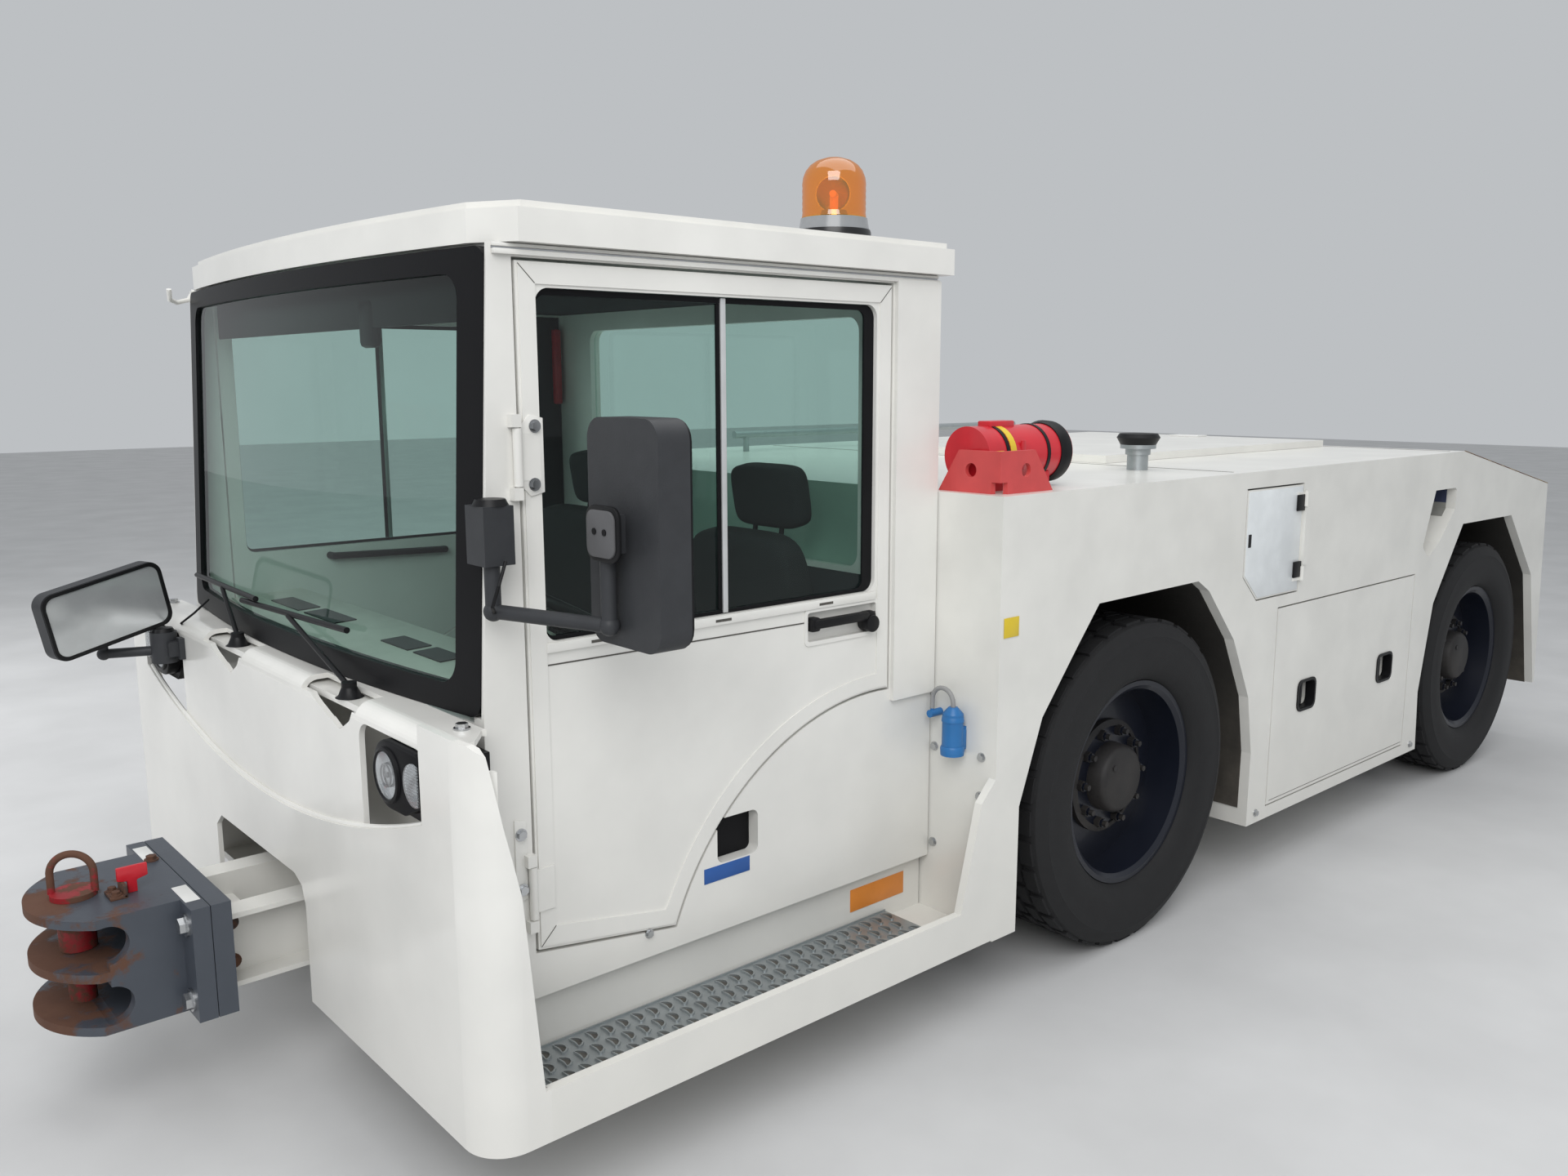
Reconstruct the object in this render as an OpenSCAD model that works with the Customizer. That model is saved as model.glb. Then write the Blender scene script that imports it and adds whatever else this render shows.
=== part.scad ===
// Aircraft pushback tractor, four wheels, front cab, low deck behind it.
// Millimetres. +X forward, +Y to the vehicle's left, +Z up.
// The tables are written from the front axle line and the centre line of the body;
// lay() moves them to the middle of the overall box, which the left mirror widens.

/* [Overall] */
// distance between the two axle lines
wheelbase = 2460; // [2430:5:2480]
// width over the body sides
body_width = 2194; // [2170:2:2230]
// height of the deck above the ground
deck_z = 1350; // [1335:1:1370]
// reach of the front jaws ahead of the front axle line
front_reach = 2597; // [2590:1:2620]
// reach of the rear jaws behind the rear axle line
rear_overhang = 883; // [875:1:900]
// reach of the left mirror's head beyond the body side
mirror_out = 165; // [155:1:190]

/* [Body plates] */
// thickness of the body side plates
side_t = 30; // [20:1:36]
// thickness of the arch lining
liner_t = 10; // [6:1:14]
// lower edge of the body sides
skirt_z = 206; // [190:1:225]
// front face of the body behind the cab
bulkhead_x = 670; // [662:1:676]
// from the rear axle line forward to where the deck starts to slope down
slope_reach = 320; // [300:5:330]
// height of the tail's upper edge
tail_z = 1173; // [1150:1:1200]
// from the body side in to the wheel bay's inner face
bay_inset = 577; // [565:1:590]
// thickness of the bent front sheets
sheet_t = 12; // [8:1:14]

/* [Wheels] */
// radius over the tyre tread
tyre_r = 479; // [470:1:484]
// section width of a tyre
tyre_w = 276; // [262:2:280]
// radius of the rim's lip
rim_lip_r = 298; // [294:1:302]
// from the body side in to a tyre's middle
tyre_inset = 147; // [143:1:153]
// from a tyre's middle in to its steering pivot
king_inset = 150; // [146:1:156]
// radius of a kingpin
king_r = 22; // [18:1:26]
// radius of a stub spindle
stub_r = 45; // [38:1:50]

/* [Cab] */
// from the body side in to the cab side
cab_inset = 220; // [211:1:229]
// thickness of the cab walls
wall_t = 40; // [32:1:44]
// upper edge of the cab side
cab_top = 1880; // [1870:1:1895]
// height of the roof sheet and its fascia
roof_h = 76; // [66:1:86]
// radius of the windscreen seen from above
screen_r = 5910; // [5700:10:6200]
// lean of the windscreen
screen_lean = 3; // [2.6:0.1:3.4]
// thickness of a door
door_t = 36; // [30:1:40]
// gap round a door
door_gap = 6; // [5:0.5:8]
// radius of the door's curved lower edge
door_arc_r = 678; // [665:1:690]

/* [Coupling] */
// width of the coupling's back plate
jaw_w = 512; // [490:2:540]
// thickness of a jaw plate
jaw_t = 20; // [16:1:24]
// radius of a tow pin's shank
tow_pin_r = 28; // [24:1:32]
// height of the two tow beams over the floor
beam_h = 175; // [160:1:185]
// radius of a lifting eye
eye_r = 17.5; // [14:0.5:21]

/* [Hidden] */
$fn = 48;
half_w = body_width / 2;
rear_reach = wheelbase + rear_overhang;
slope_x = -wheelbase + slope_reach;
tail_top_x = -wheelbase - 635;
tail_low_x = -wheelbase - 710;
service_x = -wheelbase + 698;
grip_x = -wheelbase + 499;
lid_x = -wheelbase + 398;
x_shift = (rear_reach - front_reach) / 2;
axle_z = tyre_r;
bay_y = half_w - bay_inset;
rail_y = bay_y - 40;
lid_y = bay_y + 52;
track_y = half_w - tyre_inset;
king_y = track_y - king_inset;
mirror_reach = half_w + mirror_out;
cab_y = half_w - cab_inset;
cab_in = cab_y - wall_t;
driver_y = cab_y - 457;
screen_y = cab_y - 91;
rear_light_y = cab_y - 237;
jaw_x = front_reach - 349;
pin_x = front_reach - 97;
beam_z = 262;
floor_z = 236;
jaw_z = 247;
jaw_h = 260;
roof_z = cab_top + 0.3;
deck_t = 20;
front_arch = [[575, 150], [574, 550], [488, 770], [352, 930], [255, 1040],
              [-238, 1046], [-300, 1010], [-460, 840], [-570, 640], [-608, 450], [-604, 150]];
rear_arch = [[560, 150], [582, 437], [506, 775], [278, 1064], [-233, 1061],
             [-537, 777], [-700, 235], [-720, 150]];

// moves the tables to the middle of the overall box
module lay() {
    translate([x_shift, -mirror_out / 2, 0]) children();
}

// the same piece on both sides of the centre line
module both() {
    children();
    mirror([0, 1, 0]) children();
}

// a flat outline in X and Z, given as a plate from y = y0 to y0 + t
module plate_y(y0, t) {
    translate([0, y0 + t, 0]) rotate([90, 0, 0]) linear_extrude(t) children();
}

// a flat outline in Y and Z, given as a plate from x = x0 to x0 + t
module plate_x(x0, t) {
    translate([x0, 0, 0]) rotate([90, 0, 90]) linear_extrude(t) children();
}

// rectangle with rounded corners
module rounded(w, h, r) {
    translate([r, 0]) square([w - 2 * r, h]);
    translate([0, r]) square([w, h - 2 * r]);
    for (c = [[r, r], [w - r, r], [r, h - r], [w - r, h - r]])
        translate(c) circle(r);
}

// arch outline pushed outward by t
function spread(pts, c, t) = [for (p = pts)
    p + t * (p - c) / norm(p - c)];

module arch_2d(pts, at, t) {
    translate([at, 0]) polygon(spread(pts, [0, 480], t));
}

module body_2d() {
    polygon([[bulkhead_x, skirt_z + 6], [bulkhead_x, deck_z], [slope_x, deck_z], [tail_top_x, tail_z],
             [tail_low_x, 268], [tail_low_x + 170, 240], [560 - wheelbase, skirt_z], [-613, skirt_z]]);
}

// openings of the side plate: service panel, filler hatch and grip pocket
module service_2d(gap) {
    polygon([[-728 + gap, 905 + gap], [-728 + gap, 250 - gap], [service_x - gap, 250 - gap],
             [service_x - gap, 905 + gap]]);
}

module hatch_2d(gap) {
    polygon([[-494 + gap, 1296 + gap], [-845 - gap, 1296 + gap], [-845 - gap, 950 - gap],
             [-582, 950 - gap], [-494 + gap, 1030]]);
}

module grip_2d() {
    translate([grip_x, 0])
        polygon([[67, 1212], [-119, 1212], [-129, 1202], [-129, 1130], [0, 1010], [78, 966], [100, 966],
                 [142, 1000], [144, 1014]]);
}

module chassis() {
    color([0.9, 0.89, 0.83]) lay() {
        difference() {
            union() {
                both() {
                    // inner rail and the floor and lining between it and the side plate
                    plate_y(rail_y, bay_y - rail_y) difference() {
                        body_2d();
                        translate([-rear_reach, 100]) square([rear_reach + 900, 160]);
                    }
                    plate_y(rail_y + 5, half_w - side_t - rail_y - 5) intersection() {
                        body_2d();
                        union() {
                            arch_2d(front_arch, 0, liner_t);
                            arch_2d(rear_arch, -wheelbase, liner_t);
                            translate([560 - wheelbase, skirt_z]) square([wheelbase - 1160, 24]);
                        }
                    }
                }
                // bulkhead, deck with its slope, tail plate, belly
                plate_y(-half_w + side_t, body_width - 2 * side_t) union() {
                    translate([bulkhead_x - 30, skirt_z + 10]) square([30, deck_z - skirt_z - 10]);
                    polygon([[bulkhead_x, deck_z - deck_t], [bulkhead_x, deck_z], [slope_x, deck_z],
                             [tail_top_x, tail_z], [tail_low_x, 268], [tail_low_x + 30, 268],
                             [tail_top_x + 29, tail_z - 14], [slope_x - 3, deck_z - deck_t]]);
                }
                plate_y(-rail_y - 5, 2 * rail_y + 10)
                    polygon([[bulkhead_x, 262], [bulkhead_x, 282], [tail_low_x + 18, 282],
                             [tail_low_x + 20, 269], [tail_low_x + 70, 262]]);
            }
            // wheel bays, lid opening, axle passages
            both() plate_y(bay_y, half_w) union() {
                arch_2d(front_arch, 0, 0);
                arch_2d(rear_arch, -wheelbase, 0);
            }
            translate([lid_x + 22, -lid_y + 22, deck_z - 60]) cube([-lid_x - 562, 2 * lid_y - 44, 100]);
            for (x = [0, -wheelbase])
                translate([x - 130, -bay_y - 20, 150]) cube([260, 2 * bay_y + 40, 470]);
        }
        // hinge posts and pin of the engine lid
        translate([-1800, -lid_y - 8, deck_z + 14]) rotate([0, 90, 0]) cylinder(h = 1040, r = 4);
        for (x = [-1640, -1180])
            translate([x, -lid_y - 20, deck_z - 2]) cube([60, 14, 21]);
    }
}

module body_sides() {
    color([0.9, 0.89, 0.83]) lay() {
        difference() {
            both() plate_y(half_w - side_t, side_t) body_2d();
            // wheel arches, openings of the panels and pockets, bores of the panel pins
            both() {
                plate_y(half_w - side_t - 1, side_t + 2) {
                    arch_2d(front_arch, 0, 0);
                    arch_2d(rear_arch, -wheelbase, 0);
                    service_2d(4);
                    grip_2d();
                }
                translate([service_x - 28, half_w - 6, 254]) rotate([0, 90, 0])
                    cylinder(h = -service_x - 672, r = 4.06);
            }
            plate_y(half_w - side_t - 1, side_t + 2) hatch_2d(4);
        }
        // hinge post of the filler hatch
        translate([-848, half_w + 9, 980]) cylinder(h = 296, r = 3);
        translate([-876, half_w - 1, 1036]) cube([32, 15, 184]);
        // pocket behind the grip opening
        both() difference() {
            plate_y(half_w - 120, 92) translate([grip_x, 0])
                polygon([[84, 1230], [-147, 1230], [-147, 1122], [-4, 992], [74, 948], [108, 948],
                         [162, 992], [162, 1020]]);
            plate_y(half_w - 110, 120) grip_2d();
        }
    }
}

// floor of the front end with its sills and the gussets behind the steps
module step_floor() {
    color([0.9, 0.89, 0.83]) lay() difference() {
        union() {
            translate([bulkhead_x, -half_w, 216]) cube([1280, body_width, 20]);
            both() {
                translate([bulkhead_x, half_w - 22, 216]) cube([1285, 22, 104]);
                plate_y(half_w - 22, 22) polygon([[792, 230], [792, 320], [722, 590], [bulkhead_x, 642],
                                                  [bulkhead_x, 230]]);
            }
        }
        // drain slots under the cab
        for (x = [900, 1300])
            translate([x, -60, 200]) cube([120, 120, 60]);
    }
}

// bent outline of the front sheets seen from above
module front_bend(x0, y0, r, t, back) {
    intersection() {
        translate([back, -y0]) square([x0 - back, 2 * y0]);
        front_ring(x0, y0, r, t, back);
    }
}

module front_ring(x0, y0, r, t, back) {
    difference() {
        union() {
            if (x0 - back > r)
                translate([back, -y0]) square([x0 - back - r, 2 * y0]);
            translate([back, -y0 + r]) square([x0 - back, 2 * y0 - 2 * r]);
            for (s = [-1, 1])
                translate([x0 - r, s * (y0 - r)]) circle(r);
        }
        translate([back - r - 1, -y0 + t]) square([x0 - back + 1, 2 * y0 - 2 * t]);
        translate([back - 1, -y0 + r]) square([x0 - back - t + 1, 2 * y0 - 2 * r]);
        for (s = [-1, 1])
            translate([x0 - r, s * (y0 - r)]) circle(r - t);
    }
}

// opening that the tow beam passes through, cut clear of the coupling
module beam_gap_2d() {
    near_y = jaw_w / 2 + 6;
    far_y = -jaw_w / 2 - 96;
    top_z = jaw_z + jaw_h + 5;
    polygon([[far_y, 100], [far_y, top_z - 34], [far_y + 44, top_z], [near_y - 60, top_z],
             [near_y - 18, top_z - 18], [near_y, top_z - 60], [near_y, 100]]);
}

module front_apron() {
    color([0.9, 0.89, 0.83]) lay() difference() {
        translate([0, 0, 216]) linear_extrude(792) front_bend(2090, half_w, 85, sheet_t, 1955);
        // arched upper edge between the headlamps
        intersection() {
            translate([1900, 0, 3321]) rotate([0, 90, 0]) cylinder(h = 300, r = 2660, $fn = 180);
            translate([1900, -half_w + 204, 600]) cube([300, body_width - 408, 500]);
        }
        // opening for the tow beam
        plate_x(2000, 200) beam_gap_2d();
        // rear edge of the side wings
        plate_y(-half_w - 5, body_width + 10) polygon([[1900, 321], [1966, 321], [2000, 713], [2030, 850],
                                                       [2058, 1012], [1900, 1012]]);
        // dropped outer corners of its upper edge
        both() plate_x(1940, 160) polygon([[half_w - 84, 1012], [half_w - 40, 1002], [half_w - 12, 980],
                                           [half_w + 5, 940], [half_w + 5, 1012]]);
    }
}

module nose_panel() {
    color([0.9, 0.89, 0.83]) lay() difference() {
        union() {
            // upright part behind the apron, with the bend to the top plate
            translate([0, 0, 560]) linear_extrude(390) front_bend(2076, half_w - sheet_t - 2, 72, sheet_t, 2030);
            plate_y(-half_w + 105, body_width - 210) polygon(concat([[1972, 985 - sheet_t], [1972, 985]],
                [for (a = [0 : 10 : 90]) [2036 + 40 * sin(a), 945 + 40 * cos(a)]],
                [[2076, 930], [2076 - sheet_t, 930]],
                [for (a = [90 : -15 : 0]) [2036 + (40 - sheet_t) * sin(a), 945 + (40 - sheet_t) * cos(a)]]));
        }
        // headlamp holes
        both() plate_x(2000, 100) translate([half_w - 507, 700]) rounded(303, 250, 38);
        // wiper notches: a long slope, a round foot and a steep end
        for (y = [half_w - 806, 706 - half_w]) {
            plate_x(2020, 100) translate([y, 0]) wiper_notch_2d();
            translate([2012, y - 14, 960]) cube([100, 294, 60]);
        }
        // outer rear corners of the top plate
        both() translate([1900, half_w - 107, 960]) rotate(-37) translate([-200, 0, 0]) cube([300, 200, 60]);
    }
}

module wiper_notch_2d() {
    polygon([[-14, 1010], [-14, 990], [0, 974], [150, 925], [160, 960], [262, 960], [280, 990], [280, 1010]]);
    hull() {
        translate([196, 938]) circle(26);
        translate([236, 960]) circle(26);
        translate([30, 985]) circle(10);
    }
}

module step_gratings() {
    color([0.6, 0.62, 0.63]) lay() both() difference() {
        translate([810, half_w - 244, 236]) cube([1130, 218, 22]);
        // a plain tray under the raised tread
        translate([816, half_w - 238, 235]) cube([1118, 206, 17]);
        for (i = [0 : 21])
            for (j = [0 : 2])
                translate([850 + i * 50, half_w - 205 + j * 70, 230]) cylinder(h = 40, r = 13, $fn = 16);
    }
}

module door_2d(gap) {
    difference() {
        polygon([[836 - gap, 1849 + gap], [836 - gap, 600], [1490, 434 - gap],
                 [1846 + gap, 486 - gap], [1846 + gap, 1849 + gap]]);
        translate([870, 190]) circle(door_arc_r - gap, $fn = 120);
        translate([500, 300]) square([370, 544 - gap]);
    }
}

module window_2d(grow) {
    translate([885 - grow, 1118 - grow]) rounded(920 + 2 * grow, 684 + 2 * grow, 30);
}

module cab_frame() {
    color([0.9, 0.89, 0.83]) lay() {
        difference() {
            union() {
                both() {
                    // side wall from the rear pillar to the windscreen pillar
                    plate_y(cab_in, wall_t) polygon([[bulkhead_x + 4, 383], [bulkhead_x + 4, cab_top],
                                                     [1899, cab_top], [1946, 985], [1956, 383]]);
                    plate_y(cab_in - 30, wall_t) polygon([[bulkhead_x + 4, 236], [bulkhead_x + 4, 420],
                                                          [1950, 420], [1950, 236]]);
                }
                // floor, rear wall, roof rim, dash wall
                translate([bulkhead_x + 4, -cab_in, 383]) cube([1276, 2 * cab_in, 30]);
                translate([bulkhead_x + 4, -cab_in, 383]) cube([36, 2 * cab_in, cab_top - 383]);
                translate([bulkhead_x + 4, -cab_in, cab_top - 26]) cube([1222, 2 * cab_in, 26]);
                translate([1920, -cab_in, 383]) cube([26, 2 * cab_in, 589]);
                translate([1920, -cab_y + 77, 950]) cube([76, 2 * cab_y - 154, 22.6]);
                translate([1990, -cab_y + 277, 950]) cube([62, 2 * cab_y - 554, 15]);
                // rear pillar covers
                both() translate([bulkhead_x + 4, cab_y - 1, 832]) cube([152, 14, 1032]);
            }
            both() plate_y(cab_in - 1, wall_t + 20) door_2d(door_gap);
            // seat of the windscreen
            screen_shell(-24.3, 90) translate([-cab_y + 10.7, 985.7]) square([2 * cab_y - 21.4, 960]);
            // light of the rear window, roof light, storage pocket by the step
            plate_x(bulkhead_x, 60) translate([-rear_light_y, 1130]) rounded(2 * rear_light_y, 660, 40);
            translate([bulkhead_x + 60, -cab_in + 40, cab_top - 40]) cube([1090, 2 * cab_in - 80, 60]);
            both() plate_y(cab_in + 6, wall_t) translate([1262, 545]) rounded(120, 105, 18);
        }
        // fixed halves of the door hinges
        both() for (z = [560, 1430]) {
            translate([1858, cab_y + 10, z - 24]) cylinder(h = 158, r = 5);
            for (d = [-26, 112])
                translate([1853, cab_y - 1, z + d]) cube([20, 20, 24]);
        }
    }
}

module roof_2d(in) {
    w = cab_y + 31;
    intersection() {
        translate([648 + in, -w + in]) square([1320 - 2 * in, 2 * w - 2 * in]);
        translate([1962 - in - 6000, 0]) circle(6000, $fn = 360);
        polygon([for (s = [-1, 1])
            for (p = s < 0 ? [[600, w + 92 - in], [1800 - in, w + 92 - in], [1925 - in, w - 128 - in],
                              [1990, w - 208]]
                           : [[1990, w - 208], [1925 - in, w - 128 - in], [1800 - in, w + 92 - in],
                              [600, w + 92 - in]])
                [p[0], s * p[1]]]);
    }
}

module cab_roof() {
    color([0.92, 0.91, 0.86]) lay() difference() {
        union() {
            translate([0, 0, roof_z]) linear_extrude(roof_h - 14) roof_2d(0);
            translate([0, 0, roof_z + roof_h - 15]) linear_extrude(15) roof_2d(14);
        }
        translate([720, -cab_y + 77, roof_z - 1]) cube([1120, 2 * cab_y - 154, 40]);
    }
}

// a strip of the windscreen's cylinder, between two outlines in Y and Z
module screen_shell(t0, t1) {
    intersection() {
        translate([1968, 0, 985]) rotate([0, -screen_lean, 0]) translate([-screen_r, 0, -60]) difference() {
            cylinder(h = 1000, r = screen_r + 44 + t1, $fn = 360);
            translate([0, 0, -1]) cylinder(h = 1002, r = screen_r + 44 + t0, $fn = 360);
        }
        plate_x(1850, 250) children();
    }
}

module windscreen_rubber() {
    color([0.05, 0.05, 0.055]) lay() screen_shell(-24, 0) difference() {
        translate([-cab_y + 11, 986]) rounded(2 * cab_y - 22, 888, 30);
        translate([-screen_y, 1040]) rounded(2 * screen_y, 788, 50);
    }
}

module cab_glass() {
    color([0.55, 0.68, 0.66, 0.4]) lay() {
        screen_shell(-15, -8) translate([0.3 - screen_y, 1040.3]) rounded(2 * screen_y - 0.6, 787.4, 50);
        plate_x(bulkhead_x + 18, 6) translate([0.3 - rear_light_y, 1130.3])
            rounded(2 * rear_light_y - 0.6, 659.4, 40);
    }
}

module door_panel() {
    difference() {
        plate_y(cab_y - door_t, door_t) door_2d(0);
        plate_y(cab_y - door_t - 1, door_t + 2) window_2d(0);
        plate_y(cab_y - 14, 20) translate([882, 1020]) square([226, 70]);
    }
    // hinge leaves and barrels
    for (z = [560, 1430])
        translate([1858, cab_y + 10, z]) difference() {
            union() {
                cylinder(h = 110, r = 9);
                translate([-50, -8, 10]) cube([50, 6, 90]);
                translate([-50, -11, 10]) cube([36, 4, 90]);
            }
            translate([0, 0, -1]) cylinder(h = 112, r = 5.06);
        }
}

module door_left() {
    color([0.9, 0.89, 0.83]) lay() door_panel();
}

module door_right() {
    color([0.9, 0.89, 0.83]) lay() mirror([0, 1, 0]) door_panel();
}

module door_pane() {
    plate_y(cab_y - 22, 6) window_2d(-0.3);
}

module door_glass_left() {
    color([0.55, 0.68, 0.66, 0.4]) lay() door_pane();
}

module door_glass_right() {
    color([0.55, 0.68, 0.66, 0.4]) lay() mirror([0, 1, 0]) door_pane();
}

// a straight round bar between two points
module bar(a, b, r) {
    d = b - a;
    translate(a) rotate([0, acos(d[2] / norm(d)), atan2(d[1], d[0])]) cylinder(h = norm(d), r = r);
}

module dashboard() {
    color([0.85, 0.84, 0.79]) lay() {
        plate_y(-cab_in + 0.5, 2 * cab_in - 1) polygon([[1919.7, 640], [1919.7, 950], [1640, 935], [1560, 880],
                                                      [1560, 815], [1700, 640]]);
        // steering column with the shaft end for the wheel
        bar([1650, driver_y, 860], [1545, driver_y, 1042], 34);
        bar([1545, driver_y, 1042], [1523, driver_y, 1080.105], 12);
    }
}

module steering_wheel() {
    color([0.06, 0.06, 0.06]) lay() translate([1523, driver_y, 1080.105]) rotate([0, -29.98, 0]) {
        rotate_extrude() translate([215, 0]) circle(14, $fn = 20);
        difference() {
            translate([0, 0, -30]) cylinder(h = 44, r = 38);
            translate([0, 0, -31]) cylinder(h = 32, r = 12.06);
        }
        for (a = [0, 120, 240])
            rotate(a + 60) translate([30, -14, -8]) cube([176, 28, 12]);
    }
}

module seats() {
    color([0.08, 0.08, 0.09]) lay() both() translate([0, driver_y, 0]) {
        translate([900, -180, 413]) cube([400, 360, 180]);
        translate([870, -220, 593]) cube([500, 440, 110]);
        plate_y(-215, 430) polygon([[880, 690], [790, 1230], [870, 1245], [990, 690]]);
        plate_y(-130, 260) polygon([[800, 1225], [785, 1400], [850, 1405], [865, 1240]]);
    }
}

// outer face of the windscreen glass at the height z and the distance y from the centre line
function glass_x(y, z) = 2004 - (z - 985) * tan(screen_lean) - y * y / (2 * screen_r);

// each row: pivot y, blade's outer and inner end y
module wipers() {
    color([0.04, 0.04, 0.045]) lay() for (w = [[half_w - 647, -262, 385],
                                               [845 - half_w, 6 - screen_y, -150]]) {
        low = [glass_x(w[1], 1078) + 20, w[1], 1078];
        high = [glass_x(w[2], 1096) + 20, w[2], 1096];
        translate([2034, w[0], 965.3]) cylinder(h = 33, r = 16);
        bar([2034, w[0], 988], (low + high) / 2 + [5, 0, -4], 6);
        bar(low, high, 7);
    }
}

module engine_block() {
    color([0.3, 0.31, 0.32]) lay() {
        translate([-1900, -330, 400]) cube([1200, 660, 820]);
        for (x = [-1850, -870])
            translate([x, -300, 282.3]) cube([120, 600, 120]);
        both() translate([760 - wheelbase, bay_y + 20, 230.3])
            cube([wheelbase - 1560, half_w - bay_y - 177, 600]);
    }
}

// axle tube with its middle casing and the pads under the frame rails
module axle_casing(len) {
    translate([0, len, axle_z]) rotate([90, 0, 0]) cylinder(h = 2 * len, r = 72);
    translate([0, 0, axle_z]) sphere(r = 165);
    translate([-250, 0, axle_z]) rotate([0, 90, 0]) cylinder(h = 250, r = 82);
    both() translate([-65, rail_y, axle_z]) cube([130, bay_y - rail_y, 619.7 - axle_z]);
}

module front_axle() {
    color([0.12, 0.12, 0.13]) lay() {
        axle_casing(king_y - 100);
        both() difference() {
            union() {
                translate([-60, king_y - 120, axle_z - 150]) cube([120, 60, 300]);
                for (z = [-150, 110]) {
                    translate([-60, king_y - 70, axle_z + z]) cube([120, 70, 40]);
                    translate([0, king_y, axle_z + z]) cylinder(h = 40, r = 60);
                }
            }
            translate([0, king_y, axle_z - 160]) cylinder(h = 320, r = king_r + 0.06);
        }
    }
}

module knuckle() {
    translate([0, king_y, axle_z - 104]) cylinder(h = 208, r = 52);
    translate([0, king_y, axle_z - 149]) cylinder(h = 298, r = king_r);
    translate([0, king_y + 210, axle_z]) rotate([90, 0, 0]) cylinder(h = 210, r = stub_r);
}

module knuckle_left() {
    color([0.12, 0.12, 0.13]) lay() knuckle();
}

module knuckle_right() {
    color([0.12, 0.12, 0.13]) lay() mirror([0, 1, 0]) knuckle();
}

module rear_axle() {
    color([0.12, 0.12, 0.13]) lay() translate([-wheelbase, 0, 0]) {
        axle_casing(track_y - 140);
        both() {
            translate([0, track_y + 60, axle_z]) rotate([90, 0, 0]) cylinder(h = 210, r = stub_r);
            translate([0, track_y - 100, axle_z]) rotate([90, 0, 0]) cylinder(h = 45, r = 130);
        }
    }
}

module rim() {
    translate([0, track_y, axle_z]) rotate([-90, 0, 0]) difference() {
        union() {
            rotate_extrude() polygon([[0, -60], [90, -60], [90, -14], [255, -30], [268, -95], [284, -105],
                                      [rim_lip_r, -105], [rim_lip_r, -99], [286, -92], [286, 92],
                                      [rim_lip_r, 99], [rim_lip_r, 105], [284, 105], [272, 95],
                                      [262, -8], [165, 2], [165, 22], [96, 22], [96, 68], [88, 76],
                                      [0, 76]]);
            for (a = [0 : 36 : 324])
                rotate(a) translate([138, 0, 0]) cylinder(h = 46, r = 13, $fn = 6);
        }
        translate([0, 0, -61]) cylinder(h = 122, r = stub_r + 0.06);
    }
}

module tyre() {
    w = tyre_w / 2;
    translate([0, track_y, axle_z]) rotate([-90, 0, 0]) rotate_extrude($fn = 64)
        polygon([for (s = [1, -1])
            for (p = s > 0 ? [[286.4, 0], [286.4, 90], [300, 97.5], [301, 108], [330, w - 8], [385, w],
                              [440, w - 5], [tyre_r - 11, w - 18], [tyre_r, w - 34]]
                           : [[tyre_r, w - 34], [tyre_r - 11, w - 18], [440, w - 5], [385, w],
                              [330, w - 8], [301, 108], [300, 97.5], [286.4, 90]])
                [p[0], s * p[1]]]);
}

module rim_front_left() {
    color([0.05, 0.05, 0.06]) lay() rim();
}

module rim_front_right() {
    color([0.05, 0.05, 0.06]) lay() mirror([0, 1, 0]) rim();
}

module rim_rear_left() {
    color([0.05, 0.05, 0.06]) lay() translate([-wheelbase, 0, 0]) rim();
}

module rim_rear_right() {
    color([0.05, 0.05, 0.06]) lay() translate([-wheelbase, 0, 0]) mirror([0, 1, 0]) rim();
}

module tyre_front_left() {
    color([0.08, 0.08, 0.085]) lay() tyre();
}

module tyre_front_right() {
    color([0.08, 0.08, 0.085]) lay() mirror([0, 1, 0]) tyre();
}

module tyre_rear_left() {
    color([0.08, 0.08, 0.085]) lay() translate([-wheelbase, 0, 0]) tyre();
}

module tyre_rear_right() {
    color([0.08, 0.08, 0.085]) lay() translate([-wheelbase, 0, 0]) mirror([0, 1, 0]) tyre();
}

// outline of a channel with its flanges outboard, in Y and Z
module channel_2d(web_y, depth, t) {
    polygon([[web_y - t, 0], [depth, 0], [depth, t], [web_y, t], [web_y, beam_h - t], [depth, beam_h - t],
             [depth, beam_h], [web_y - t, beam_h]]);
}

module coupling_frame() {
    color([0.9, 0.89, 0.83]) lay() {
        difference() {
            both() plate_x(1700, jaw_x - 1700.3) translate([0, beam_z]) channel_2d(110, 168, 12);
            // notch below the cab floor
            translate([1690, -200, 380]) cube([272, 400, 100]);
        }
        for (x = [1700, jaw_x - 108])
            translate([x, -100, beam_z]) cube([20, 200, 118]);
        // feet on the floor
        both() translate([1710, 99, floor_z]) cube([200, 68, beam_z - floor_z + 6]);
    }
}

// jaw plate seen from above: straight sides and a round nose at the origin
module jaw_2d(r, half, back) {
    intersection() {
        union() {
            translate([-r, 0]) circle(r);
            translate([-back, -half]) square([back - r, 2 * half]);
        }
        translate([-back, -half]) square([back + 1, 2 * half]);
    }
}

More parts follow.
